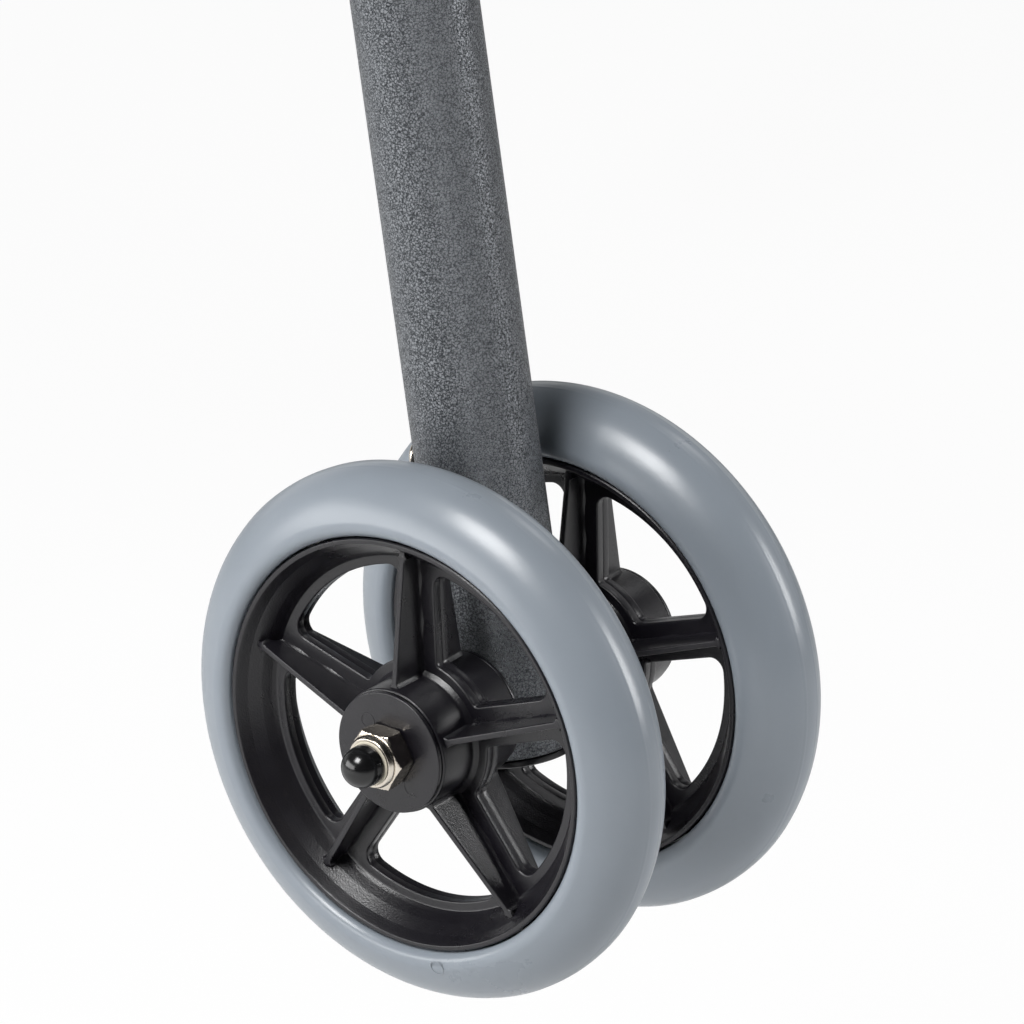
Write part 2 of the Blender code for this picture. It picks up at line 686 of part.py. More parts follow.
for side_name, way in SIDES.items():
    front = new_frame(
        side_name + "_front_leg_frame", (AXLE_X, way * TRACK / 2, TYRE_RADIUS), (0, -LEG_LEAN, 0)
    )
    rear = new_frame(
        side_name + "_rear_leg_frame", (REAR_FOOT_X, way * TRACK / 2, 0), (0, REAR_LEAN, 0)
    )
    level_axle = new_frame(side_name + "_axle_frame", (AXLE_X, way * TRACK / 2, TYRE_RADIUS))
    make_side_frame(side_name, front, rear)
    make_front_leg(side_name, front)
    make_rear_leg(side_name, rear)
    for wheel_place in FIRST_SPOKE:
        make_wheel(side_name, wheel_place, level_axle)
    for bracket_level, bracket_height in (("lower", LOWER_BRACKET), ("upper", UPPER_BRACKET)):
        make_bracket(side_name, bracket_level, bracket_height, front)
    make_release(side_name, front)

make_cross_tube("lower", LOWER_BRACKET)
make_cross_tube("upper", UPPER_BRACKET)
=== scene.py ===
# %% [markdown]
# # A folding walker with paired front wheels
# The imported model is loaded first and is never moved. Every finer surface below is worked out
# with numpy in the same metres, stands where its plain solid stands, and rides on the same body.

# %% Load the frame
import math

import bmesh
import bpy
import numpy as np
from mathutils import Matrix, Vector


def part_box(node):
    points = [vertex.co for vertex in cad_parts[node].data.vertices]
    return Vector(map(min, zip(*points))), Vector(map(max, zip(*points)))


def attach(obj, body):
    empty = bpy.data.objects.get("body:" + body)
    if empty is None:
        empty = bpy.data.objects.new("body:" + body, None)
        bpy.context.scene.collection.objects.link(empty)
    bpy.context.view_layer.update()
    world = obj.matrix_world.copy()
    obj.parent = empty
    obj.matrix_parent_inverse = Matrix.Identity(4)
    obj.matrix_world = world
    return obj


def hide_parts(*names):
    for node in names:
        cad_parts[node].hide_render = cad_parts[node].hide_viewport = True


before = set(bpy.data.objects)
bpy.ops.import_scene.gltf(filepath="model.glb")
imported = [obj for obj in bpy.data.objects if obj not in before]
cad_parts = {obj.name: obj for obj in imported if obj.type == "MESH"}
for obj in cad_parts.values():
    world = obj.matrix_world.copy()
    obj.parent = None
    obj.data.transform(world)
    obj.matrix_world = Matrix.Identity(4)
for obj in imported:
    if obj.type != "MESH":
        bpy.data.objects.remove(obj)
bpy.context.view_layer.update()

MM = 0.001

# %% [markdown]
# ## Places to build in
# A walker's side is easiest to think of in the frame of one leg: forward, outward and up. Three
# such frames are enough, one at the axle, one along the front leg and one along the rear leg. The
# left and right sides differ only in the sign of "outward", so each shape is made once.

# %% Frames of one side
AXLE_LOW, AXLE_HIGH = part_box("right_outer_rim")
AXLE_X = (AXLE_LOW.x + AXLE_HIGH.x) / 2
AXLE_Z = (AXLE_LOW.z + AXLE_HIGH.z) / 2
FOOT_LOW, FOOT_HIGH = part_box("right_rear_tip")
FOOT_X = (FOOT_LOW.x + FOOT_HIGH.x) / 2
HALF_TRACK = -(FOOT_LOW.y + FOOT_HIGH.y) / 2
FRONT_LEAN = math.radians(9.4)
REAR_LEAN = math.radians(3.902)
STANDS = {
    "axle": (AXLE_X, AXLE_Z, 0.0),
    "front": (AXLE_X, AXLE_Z, -FRONT_LEAN),
    "rear": (FOOT_X, 0.0, REAR_LEAN),
    "foot": (FOOT_X, 0.0, 0.0),
}
WAYS = {"left": 1, "right": -1}


def stand(points, where, way):
    """(forward, outward, up) in a leg's frame, in mm, to the world: turn by the lean, then shift."""
    x0, z0, lean = STANDS[where]
    x, y, z = (points * MM).T
    c, s = math.cos(lean), math.sin(lean)
    return np.stack([x0 + x * c + z * s, way * (HALF_TRACK + y), z0 - x * s + z * c], -1)


print("axle at", round(AXLE_X, 4), round(AXLE_Z, 4), "half track", round(HALF_TRACK, 4))

# %% [markdown]
# ## Surfaces on grids
# Nearly every piece is either turned, like a rim, or carried along a path, like a bent tube. Both
# are a grid of points, so one function lists the grid's quads, and each shape only has to say
# where its points are.

# %% Grid helpers
def quads(rows, columns, round_rows=False, round_columns=False):
    """The quads of a grid of points, with either way closed on itself."""
    i = np.arange(rows if round_rows else rows - 1)[:, None]
    j = np.arange(columns if round_columns else columns - 1)[None, :]
    a, b = i * columns, ((i + 1) % rows) * columns
    c, d = j, (j + 1) % columns
    return np.stack([a + c, a + d, b + d, b + c], -1).reshape(-1, 4)


def rounded(corners, radii, steps=5, closed=True):
    """A profile with each corner replaced by the arc of its radius that touches both sides."""
    p = np.asarray(corners, float)
    radii = np.broadcast_to(np.asarray(radii, float), len(p))
    out = []
    for n, (corner, radius) in enumerate(zip(p, radii)):
        if radius <= 0 or (not closed and n in (0, len(p) - 1)):
            out.append(corner[None])
            continue
        back, ahead = p[n - 1] - corner, p[(n + 1) % len(p)] - corner
        lb, la = np.linalg.norm(back), np.linalg.norm(ahead)
        back, ahead = back / lb, ahead / la
        half = math.acos(np.clip(back @ ahead, -1, 1)) / 2
        reach = min(radius / math.tan(half), 0.48 * lb, 0.48 * la)
        t = np.linspace(0, 1, steps + 1)[:, None]
        start, end = corner + back * reach, corner + ahead * reach
        before, weight, after = (1 - t) ** 2, 2 * t * (1 - t) * math.sin(half), t ** 2
        out.append((before * start + weight * corner + after * end) / (before + weight + after))
    return np.concatenate(out)


def turned(profile, steps=96, along=(0, 1, 0), centre=(0, 0, 0), closed=True):
    """A profile of (radius, height) turned round an axis: centre + radius * circle + height * axis."""
    axis = Vector(along).normalized()
    side = Vector((0, 0, 1)) if abs(axis.z) < 0.9 else Vector((1, 0, 0))
    u = (side - axis * side.dot(axis)).normalized()
    v = axis.cross(u)
    t = np.arange(steps) * 2 * np.pi / steps
    ring = np.cos(t)[:, None] * np.array(u) + np.sin(t)[:, None] * np.array(v)
    r, h = np.asarray(profile, float).T
    points = np.array(centre) + r[:, None, None] * ring + h[:, None, None] * np.array(axis)
    return points.reshape(-1, 3), quads(len(r), steps, closed, True)


def lathe(corners, radii, arc_steps=4, steps=96, closed=True, **place):
    """A turned piece whose profile has rounded corners."""
    return turned(rounded(corners, radii, arc_steps, closed), steps, closed=closed, **place)


def dome(radius, foot, rise, steps=9):
    """The profile of half an ellipse, from its top on the axis down to its foot."""
    a = np.radians(np.linspace(90, 0, steps))
    return np.stack([radius * np.cos(a), foot + rise * np.sin(a)], -1)


def carried(centres, sideways, upwards, radii, sides=48):
    """Circles of the given radii carried along centres, the whole tube closed on itself."""
    t = np.arange(sides) * 2 * np.pi / sides
    ring = np.cos(t)[None, :, None] * sideways[:, None] + np.sin(t)[None, :, None] * upwards[:, None]
    points = centres[:, None] + radii[:, None, None] * ring
    return points.reshape(-1, 3), quads(len(centres), sides, True, True)


def pipe(path, outer, inner, sides=48, lip=0.4):
    """A hollow tube along points in the forward-up plane: out along the outside, back inside."""
    path = np.asarray(path, float)
    tangent = np.gradient(path, axis=0)
    tangent /= np.linalg.norm(tangent, axis=1)[:, None]
    up = np.cross(tangent, [0.0, 1.0, 0.0])
    first, last = path[0] + tangent[0] * lip, path[-1] - tangent[-1] * lip
    there = np.concatenate([path[:1], [first], path[1:-1], [last], path[-1:]])
    ups = np.concatenate([up[:1], up[:1], up[1:-1], up[-1:], up[-1:]])
    radii = np.full(len(there), outer)
    radii[[0, -1]] -= lip
    centres = np.concatenate([there, there[::-1]])
    ups = np.concatenate([ups, ups[::-1]])
    radii = np.concatenate([radii, np.full(len(there), inner)])
    sideways = np.broadcast_to([0.0, 1.0, 0.0], centres.shape)
    return carried(centres, sideways, ups, radii, sides)


def soft_box(low, high, radius, steps=5):
    """A box with round edges: points of a cube's grid pulled in to a smaller box plus a sphere."""
    low, high = np.minimum(low, high).astype(float), np.maximum(low, high).astype(float)
    half, middle = (high - low) / 2, (high + low) / 2
    radius = min(radius, half.min() * 0.98)
    arc = np.sin(np.linspace(0, np.pi / 2, steps + 1)) * 0.999
    line = np.concatenate([-1 - arc[::-1], [0], 1 + arc])
    a, b = np.meshgrid(line, line, indexing="ij")
    surfaces = []
    for axis in range(3):
        for sign in (-1, 1):
            cube = np.empty(a.shape + (3,))
            cube[..., axis] = sign * 2
            cube[..., (axis + 1) % 3], cube[..., (axis + 2) % 3] = a, b
            core = np.clip(cube, -1, 1)
            reach = cube - core
            reach /= np.maximum(np.linalg.norm(reach, axis=-1, keepdims=True), 1e-9)
            points = middle + core * (half - radius) + reach * radius
            surfaces.append((points.reshape(-1, 3), quads(len(line), len(line))))
    return joined(surfaces)


def joined(surfaces):
    """Several surfaces as one list of points and one list of quads."""
    starts = np.cumsum([0] + [len(p) for p, _ in surfaces[:-1]])
    return (np.concatenate([p for p, _ in surfaces]),
            np.concatenate([q + n for n, (_, q) in zip(starts, surfaces)]))


# %% Mesh helpers
WELD, SLIVER, SHARP_ANGLE = 2e-6, 1e-7, math.radians(38)


def mesh_from(name, surface):
    """A mesh of the surface in metres, its shared edges welded and its faces turned outwards."""
    points, faces = surface
    mesh = bpy.data.meshes.new(name)
    mesh.vertices.add(len(points))
    mesh.vertices.foreach_set("co", points.astype(np.float32).ravel())
    mesh.loops.add(faces.size)
    mesh.loops.foreach_set("vertex_index", faces.astype(np.int32).ravel())
    mesh.polygons.add(len(faces))
    mesh.polygons.foreach_set("loop_start", np.arange(len(faces), dtype=np.int32) * 4)
    mesh.update(calc_edges=True)
    tidy(mesh)
    return mesh


def tidy(mesh):
    """Welds points, drops slivers, turns faces outwards and keeps only the sharp edges sharp."""
    built = bmesh.new()
    built.from_mesh(mesh)
    bmesh.ops.remove_doubles(built, verts=built.verts, dist=WELD)
    bmesh.ops.dissolve_degenerate(built, edges=built.edges, dist=SLIVER)
    bmesh.ops.recalc_face_normals(built, faces=built.faces)
    built.to_mesh(mesh)
    built.free()
    mesh.shade_smooth()
    mesh.set_sharp_from_angle(angle=SHARP_ANGLE)


def new_object(name, mesh):
    """An object of the mesh, linked to the scene."""
    piece = bpy.data.objects.new(name, mesh)
    bpy.context.scene.collection.objects.link(piece)
    return piece


def worked(surface, tools):
    """The surface after Booleans with each (operation, tool surface), as an applied mesh in metres."""
    piece = new_object("blank", mesh_from("blank", (surface[0] * MM, surface[1])))
    helpers = []
    for operation, tool in tools:
        helper = new_object("tool", mesh_from("tool", (tool[0] * MM, tool[1])))
        modifier = piece.modifiers.new(operation, "BOOLEAN")
        modifier.operation, modifier.object = operation, helper
        helpers.append(helper)
    graph = bpy.context.evaluated_depsgraph_get()
    mesh = bpy.data.meshes.new_from_object(piece.evaluated_get(graph))
    for thing in [piece] + helpers:
        bpy.data.objects.remove(thing)
    return mesh


def standing_copy(name, mesh, where, way, lift=0.0):
    """A copy of a worked mesh, put from a leg's frame into the world."""
    copy = mesh.copy()
    copy.name = name
    co = np.empty(len(copy.vertices) * 3, np.float32)
    copy.vertices.foreach_get("co", co)
    points = co.reshape(-1, 3).astype(float) / MM + [0, 0, lift]
    copy.vertices.foreach_set("co", stand(points, where, way).astype(np.float32).ravel())
    tidy(copy)
    return copy


made = []


def add_piece(side, name, shape, where, body, finish, nodes=(), lift=0.0):
    """One finished piece of a side, or of neither: the body it rides on and the nodes it replaces."""
    way, (material, slot) = WAYS.get(side, 1), finish
    label = f"{side}_{name}" if side else name
    if isinstance(shape, tuple):
        mesh = mesh_from(label, (stand(shape[0] + [0, 0, lift], where, way), shape[1]))
    else:
        mesh = standing_copy(label, shape, where, way, lift)
    piece = new_object(label, mesh)
    mesh.materials.clear()
    mesh.materials.append(material)
    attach(piece, body if body == "front_brace" else f"{side}_{body}")
    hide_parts(*[f"{side}_{part}" if side else part for part in nodes])
    made.append(piece)


def rod(radius, start, end, steps=48, bevel=0.0):
    """A solid round bar between two points, its ends closed at poles."""
    start, end = np.array(start, float), np.array(end, float)
    length = np.linalg.norm(end - start)
    return lathe([(0, 0), (radius, 0), (radius, length), (0, length)], [0, bevel, bevel, 0], 4, steps, False,
                 along=end - start, centre=start)


# %% [markdown]
# ## Shared effects
# Paint, rubber and nylon are all a little uneven, and all of them gather dust on what faces up.
# Each effect is a node group with its own inputs, so that every finish can use it with other values.

# %% Node groups
def new_group(name, inputs, outputs):
    """A node group with the listed sockets, and its two end nodes."""
    group = bpy.data.node_groups.new(name, "ShaderNodeTree")
    for label, kind, value in inputs:
        socket = group.interface.new_socket(label, in_out="INPUT", socket_type=kind)
        if value is not None:
            socket.default_value = value
    for label, kind in outputs:
        group.interface.new_socket(label, in_out="OUTPUT", socket_type=kind)
    return group, group.nodes.new("NodeGroupInput"), group.nodes.new("NodeGroupOutput")


def node(tree, kind, links=(), **values):
    """Adds a node, sets its own properties and sockets, and links (socket, source) pairs."""
    made_node = tree.nodes.new(kind)
    for key, value in values.items():
        if hasattr(made_node, key) and key not in made_node.inputs:
            setattr(made_node, key, value)
        else:
            made_node.inputs[key].default_value = value
    for socket, source in links:
        tree.links.new(source, made_node.inputs[socket])
    return made_node


def worked_out(tree, operation, *inputs, kind="ShaderNodeMath", **values):
    """The socket with the result of an operation on other sockets and on numbers."""
    made_node = node(tree, kind, operation=operation, **values)
    for socket, value in zip(made_node.inputs, inputs):
        if isinstance(value, bpy.types.NodeSocket):
            tree.links.new(value, socket)
        else:
            socket.default_value = value
    return made_node.outputs[0]


def ranged(tree, value, start, end, kind="LINEAR"):
    """The socket with a value moved from the range start to the range end."""
    made_node = node(tree, "ShaderNodeMapRange", [("Value", value)], interpolation_type=kind)
    for key, number in zip(("From Min", "From Max", "To Min", "To Max"), (*start, *end)):
        made_node.inputs[key].default_value = number
    return made_node.outputs["Result"]


def cloud_group():
    """Noise spread about its middle: 0.5 + contrast * (noise - 0.5)."""
    group, start, end = new_group("uneven_tone", [
        ("Vector", "NodeSocketVector", None), ("Scale", "NodeSocketFloat", 60.0),
        ("Contrast", "NodeSocketFloat", 1.0)], [("Mask", "NodeSocketFloat")])
    noise = node(group, "ShaderNodeTexNoise", [("Vector", start.outputs["Vector"]),
                 ("Scale", start.outputs["Scale"])], Detail=6.0, Roughness=0.6)
    centred = worked_out(group, "SUBTRACT", noise.outputs["Fac"], 0.5)
    spread = worked_out(group, "MULTIPLY_ADD", centred, start.outputs["Contrast"], 0.5, use_clamp=True)
    group.links.new(spread, end.inputs["Mask"])
    return group


def dust_group():
    """Base colour mixed to dust by amount * how far the face looks up * patchy noise."""
    group, start, end = new_group("settled_dust", [
        ("Vector", "NodeSocketVector", None), ("Base", "NodeSocketColor", None),
        ("Dust", "NodeSocketColor", (0.30, 0.30, 0.30, 1.0)), ("Amount", "NodeSocketFloat", 0.1)],
        [("Color", "NodeSocketColor")])
    facing = node(group, "ShaderNodeNewGeometry")
    split = node(group, "ShaderNodeSeparateXYZ", [(0, facing.outputs["Normal"])])
    upward = worked_out(group, "MAXIMUM", split.outputs["Z"], 0.0)
    noise = node(group, "ShaderNodeTexNoise", [("Vector", start.outputs["Vector"])],
                 Scale=900.0, Detail=8.0, Roughness=0.75)
    share = worked_out(group, "MULTIPLY", upward, noise.outputs["Fac"])
    amount = worked_out(group, "MULTIPLY", share, start.outputs["Amount"], use_clamp=True)
    mix = node(group, "ShaderNodeMix", [("Factor", amount)], data_type="RGBA")
    group.links.new(start.outputs["Base"], mix.inputs["A"])
    group.links.new(start.outputs["Dust"], mix.inputs["B"])
    group.links.new(mix.outputs["Result"], end.inputs["Color"])
    return group


def grain_group():
    """Height of a moulded grain: fine noise plus a coarser one."""
    group, start, end = new_group("moulded_grain", [
        ("Vector", "NodeSocketVector", None), ("Scale", "NodeSocketFloat", 1500.0),
        ("Coarse", "NodeSocketFloat", 0.4)], [("Height", "NodeSocketFloat")])
    fine = node(group, "ShaderNodeTexNoise", [("Vector", start.outputs["Vector"]),
                ("Scale", start.outputs["Scale"])], Detail=3.0)
    slow = node(group, "ShaderNodeTexNoise", [("Vector", start.outputs["Vector"])], Scale=180.0, Detail=2.0)
    total = worked_out(group, "MULTIPLY_ADD", slow.outputs["Fac"], start.outputs["Coarse"],
                       fine.outputs["Fac"])
    group.links.new(total, end.inputs["Height"])
    return group


UNEVEN, DUST, GRAIN = cloud_group(), dust_group(), grain_group()


def placed(tree, group, links, **values):
    """A group placed in a material's tree."""
    return node(tree, "ShaderNodeGroup", links, node_tree=group, **values)


# %% [markdown]
# ## Finishes
# Moulded finishes differ only in colour, gloss, grain and dust, so one function makes them all.
# Hammertone paint is different: it draws back into small islands as it dries, with darker seams
# between them, which is what a Voronoi pattern on a warped grid gives.

# %% Moulded and plated finishes
def new_material(name):
    """A material, its nodes, its shader and the object's own coordinates."""
    material = bpy.data.materials.new(name)
    material.use_nodes = True
    tree = material.node_tree
    place = node(tree, "ShaderNodeTexCoord").outputs["Object"]
    return material, tree, tree.nodes["Principled BSDF"], place


def moulded(name, slot, dark, light, roughness, spread=0.08, grain=1500.0, depth=0.02, coarse=0.4,
            dust=0.08, metallic=0.0, tone_scale=60.0, contrast=1.6):
    """Colour between dark and light by uneven tone, dust on top, roughness about one value."""
    material, tree, shader, place = new_material(name)
    tone = placed(tree, UNEVEN, [("Vector", place)], Scale=tone_scale, Contrast=contrast).outputs["Mask"]
    mix = node(tree, "ShaderNodeMix", [("Factor", tone)], data_type="RGBA", A=(*dark, 1.0), B=(*light, 1.0))
    dusty = placed(tree, DUST, [("Vector", place), ("Base", mix.outputs["Result"])], Amount=dust)
    tree.links.new(dusty.outputs["Color"], shader.inputs["Base Color"])
    rough = ranged(tree, tone, (0.0, 1.0), (roughness - spread, roughness + spread))
    tree.links.new(rough, shader.inputs["Roughness"])
    shader.inputs["Metallic"].default_value = metallic
    height = placed(tree, GRAIN, [("Vector", place)], Scale=grain, Coarse=coarse)
    bump = node(tree, "ShaderNodeBump", [("Height", height.outputs["Height"])],
                Strength=1.0, Distance=depth * MM)
    tree.links.new(bump.outputs["Normal"], shader.inputs["Normal"])
    return material, slot


TYRE = moulded("grey_tyre", "grey_tyre", (0.180, 0.204, 0.232), (0.212, 0.238, 0.268), 0.29,
               grain=700.0, depth=0.016, coarse=1.6, dust=0.0, tone_scale=42.0, contrast=0.6)
NYLON = moulded("black_nylon", "black_nylon", (0.0030, 0.0026, 0.0042), (0.0070, 0.0062, 0.0092), 0.30,
                grain=2600.0, depth=0.050, coarse=0.2, dust=0.02)
CAP = moulded("cap_gloss", "cap_gloss", (0.004, 0.004, 0.0045), (0.006, 0.006, 0.0065), 0.19,
              spread=0.02, grain=900.0, depth=0.002, dust=0.01)
ZINC = moulded("nickel_plate", "zinc", (0.56, 0.50, 0.43), (0.70, 0.65, 0.57), 0.20,
               spread=0.06, grain=1800.0, depth=0.006, dust=0.03, metallic=1.0, tone_scale=220.0)
LINER = moulded("cream_nylon", "zinc", (0.55, 0.50, 0.40), (0.66, 0.61, 0.50), 0.35,
                grain=1200.0, depth=0.01, dust=0.02)
GRIP = moulded("grip_vinyl", "grip_rubber", (0.013, 0.013, 0.014), (0.026, 0.026, 0.027), 0.62,
               grain=3200.0, depth=0.09, coarse=0.5, dust=0.10)
RUBBER = moulded("tip_rubber", "tip_rubber", (0.085, 0.090, 0.096), (0.125, 0.130, 0.138), 0.68,
                 grain=2200.0, depth=0.07, dust=0.18)
RED = moulded("red_button", "red_button", (0.40, 0.018, 0.014), (0.50, 0.030, 0.020), 0.36,
              grain=2000.0, depth=0.03, dust=0.05)
print("moulded finishes: 8")


# %% Hammertone paint
def hammertone():
    """Islands of pale paint: distance to a cell's edge on warped points, wide in the islands."""
    material, tree, shader, place = new_material("hammertone")
    warp = node(tree, "ShaderNodeTexNoise", [("Vector", place)], Scale=1500.0, Detail=4.0, Roughness=0.7)
    vectors = "ShaderNodeVectorMath"
    centred = worked_out(tree, "SUBTRACT", warp.outputs["Color"], (0.5, 0.5, 0.5), kind=vectors)
    warped = worked_out(tree, "ADD", place, worked_out(tree, "SCALE", centred, kind=vectors, Scale=0.0016),
                        kind=vectors)
    cells = node(tree, "ShaderNodeTexVoronoi", [("Vector", warped)], feature="DISTANCE_TO_EDGE", Scale=1450.0)
    islands = ranged(tree, cells.outputs["Distance"], (0.0, 0.15), (0.0, 1.0), "SMOOTHSTEP")
    tone = placed(tree, UNEVEN, [("Vector", place)], Scale=600.0, Contrast=1.5)
    strength = worked_out(tree, "MULTIPLY", islands, tone.outputs["Mask"])
    shade = worked_out(tree, "MULTIPLY", worked_out(tree, "ADD", islands, strength), 0.62)
    mix = node(tree, "ShaderNodeMix", [("Factor", shade)], data_type="RGBA",
               A=(0.014, 0.018, 0.023, 1.0), B=(0.215, 0.226, 0.241, 1.0))
    dusty = placed(tree, DUST, [("Vector", place), ("Base", mix.outputs["Result"])], Amount=0.04)
    tree.links.new(dusty.outputs["Color"], shader.inputs["Base Color"])
    tree.links.new(ranged(tree, shade, (0.0, 1.0), (0.50, 0.33)), shader.inputs["Roughness"])
    shader.inputs["Metallic"].default_value = 0.55
    bump = node(tree, "ShaderNodeBump", [("Height", shade)], Strength=0.9, Distance=0.14 * MM)
    tree.links.new(bump.outputs["Normal"], shader.inputs["Normal"])
    return material, "hammertone"


PAINT = hammertone()
print("hammertone made")

# %% [markdown]
# ## Tyres
# A walker's small tyre is one moulding of polyurethane. Its section is half an ellipse that comes
# straight out of the rim with a small rounded edge, and the halves of its mould leave two fine
# ridges beside the crown. A turned profile gives all of that.

# %% Tyre
TYRE_INNER, TYRE_OUTER, CROWN_CENTRE = 49.4, 63.5, 44.5
EDGE_HALF, CROWN_HALF, CROWN_END, EDGE_BEND = 10.3, 13.3, math.radians(64), (50.3, 12.35)
SEAM_HALF_ANGLE, SEAM_WIDTH, SEAM_HEIGHT = math.radians(9.0), 0.012, 0.09


def tyre_surface():
    """Radius 44.5 + 19 cos(a), height 13.3 sin(a), mould ridges, and a curve down to the rim."""
    a = np.linspace(CROWN_END, -CROWN_END, 90)
    ridge = np.exp(-((np.abs(a) - SEAM_HALF_ANGLE) / SEAM_WIDTH) ** 2) * SEAM_HEIGHT
    crown = np.stack([CROWN_CENTRE + (TYRE_OUTER - CROWN_CENTRE) * np.cos(a) + ridge - SEAM_HEIGHT,
                      CROWN_HALF * np.sin(a)], -1)
    t = np.linspace(0, 1, 12)[:, None]
    edge = (1 - t) ** 2 * [TYRE_INNER, EDGE_HALF] + 2 * t * (1 - t) * EDGE_BEND + t ** 2 * crown[0]
    return turned(np.concatenate([edge[:-1], crown, (edge * [1, -1])[:-1][::-1]]), 224)


def mark(radius, turn_degrees, size, height, thick, arc=(0, 360), slope=0.0):
    """A small raised ring left by a mould's gate, lying on a face that slopes with the radius."""
    t = math.radians(turn_degrees)
    way = np.array([math.sin(t), 0.0, math.cos(t)])
    a = np.radians(np.linspace(*arc, 33))[:, None]
    b = np.arange(8)[None] * np.pi / 4
    ring = size + thick * np.cos(b)
    points = np.stack([ring * np.sin(a), thick * 0.7 * np.sin(b) + 0 * a, ring * np.cos(a)], -1)
    ends = [points[n:n + 1].mean(1, keepdims=True).repeat(8, 1) for n in (0, 32)]
    points = np.concatenate([ends[0], points, ends[1]]).reshape(-1, 3)
    lifted = points + (points @ way)[:, None] * [0.0, slope, 0.0]
    return lifted + radius * way + [0.0, height, 0.0], quads(35, 8, False, True)


# %% [markdown]
# ## Rims
# The black nylon rim is a turned ring with a deep dish, a turned hub, and a flat web between them
# with five openings. Each spoke of the web has a thin rib on both faces. The openings' edges are
# rounded, so they are worked out as one loop, lofted to the border of a fifth of the web.

# %% Web with five openings
WEB_HALF, SPOKE_HALF, SPOKES = 2.25, 4.7, 5
OPENING_OUT, OPENING_IN, WEB_OUT, WEB_IN = 40.1, 18.0, 43.4, 13.2
OUT_FILLET, IN_FILLET, EDGE = 3.0, 1.3, 0.45


def arc(centre, radius, start, end, count):
    """Points on an arc between two angles."""
    a = np.linspace(start, end, count)
    return np.stack([centre[0] + radius * np.cos(a), centre[1] + radius * np.sin(a)], -1)


def opening_loops():
    """Half an opening beside a spoke that points along x, and the matching points of the border."""
    half = math.pi / SPOKES
    inner = (math.sqrt((OPENING_IN + IN_FILLET) ** 2 - (SPOKE_HALF + IN_FILLET) ** 2),
             SPOKE_HALF + IN_FILLET)
    outer = (math.sqrt((OPENING_OUT - OUT_FILLET) ** 2 - (SPOKE_HALF + OUT_FILLET) ** 2),
             SPOKE_HALF + OUT_FILLET)
    a_in, a_out = math.atan2(inner[1], inner[0]), math.atan2(outer[1], outer[0])
    parts = [
        arc((0, 0), OPENING_IN, half, a_in, 8)[:-1],
        arc(inner, IN_FILLET, a_in + math.pi, 1.5 * math.pi, 7)[:-1],
        np.stack([np.linspace(inner[0], outer[0], 14), np.full(14, SPOKE_HALF)], -1)[:-1],
        arc(outer, OUT_FILLET, -math.pi / 2, a_out, 9)[:-1],
        arc((0, 0), OPENING_OUT, a_out, half, 18),
    ]
    loop = np.concatenate(parts)
    side = len(parts[1]) + len(parts[2]) + len(parts[3])
    border = np.concatenate([
        arc((0, 0), WEB_IN, half, 0, 8)[:-1],
        np.stack([np.linspace(WEB_IN, WEB_OUT, side + 1)[:-1], np.zeros(side)], -1),
        arc((0, 0), WEB_OUT, 0, half, 18),
    ])
    return loop, border


def web_surface(first):
    """Front and back faces and the rounded walls of the openings, five times round."""
    loop, border = opening_loops()
    flip = np.array([[math.cos(2 * math.pi / SPOKES), math.sin(2 * math.pi / SPOKES)],
                     [math.sin(2 * math.pi / SPOKES), -math.cos(2 * math.pi / SPOKES)]])
    loop = np.concatenate([loop, (loop @ flip)[::-1][1:-1]])
    border = np.concatenate([border, (border @ flip)[::-1][1:-1]])
    tangent = np.roll(loop, -1, 0) - np.roll(loop, 1, 0)
    tangent /= np.linalg.norm(tangent, axis=1)[:, None]
    outward = np.stack([tangent[:, 1], -tangent[:, 0]], -1)
    outward *= np.sign(((border - loop) * outward).sum(1).mean())
    phi = np.linspace(0, np.pi / 2, 6)
    offsets = np.concatenate([EDGE * (1 - np.sin(phi)), [0, 0.07, 0], EDGE * (1 - np.sin(phi[::-1]))])
    rise = WEB_HALF - EDGE * (1 - np.cos(phi))
    heights = np.concatenate([rise, [0.12, 0.0, -0.12], -rise[::-1]])
    rows = [np.concatenate([border, np.full((len(border), 1), WEB_HALF)], 1)]
    rows += [np.concatenate([loop + o * outward, np.full((len(loop), 1), h)], 1)
             for o, h in zip(offsets, heights)]
    rows += [np.concatenate([border, np.full((len(border), 1), -WEB_HALF)], 1)]
    block = np.stack(rows)
    count = len(loop)
    faces = quads(len(rows), count, False, True)
    radius = np.linalg.norm(border, axis=1)
    ahead = np.roll(np.arange(count), -1)
    flat = np.abs(radius - radius[ahead]) < 1e-6
    spoke_line = np.minimum(np.abs(border[:, 1]), np.abs((border @ flip)[:, 1])) < 1e-6
    wall = np.where(flat & ~(spoke_line & spoke_line[ahead]))[0]
    last = (len(rows) - 1) * count
    faces = np.concatenate([faces, np.stack([wall, ahead[wall], last + ahead[wall], last + wall], -1)])
    sectors = []
    for n in range(SPOKES):
        a = first + n * 2 * math.pi / SPOKES
        x, y, h = block.reshape(-1, 3).T
        sectors.append((np.stack([x * math.sin(a) + y * math.cos(a), h,
                                  x * math.cos(a) - y * math.sin(a)], -1), faces))
    return joined(sectors)


# %% Ribs, ring and hub
HUB_RADIUS, HUB_OUT, HUB_IN, BORE = 14.7, 13.5, 13.75, 4.25
RIB_AT_HUB, RIB_AT_RIM, RIB_OUT, RIB_EDGE, RIB_MIDDLE, RIB_TAPER = 12.0, 7.2, 44.0, 0.32, 1.02, 0.27


def fillet(distance, radius):
    """How far a fillet of this radius stands out at a distance from the face that it meets."""
    left = np.clip(radius - np.abs(distance), 0, radius)
    return radius - np.sqrt(np.maximum(radius ** 2 - left ** 2, 0))


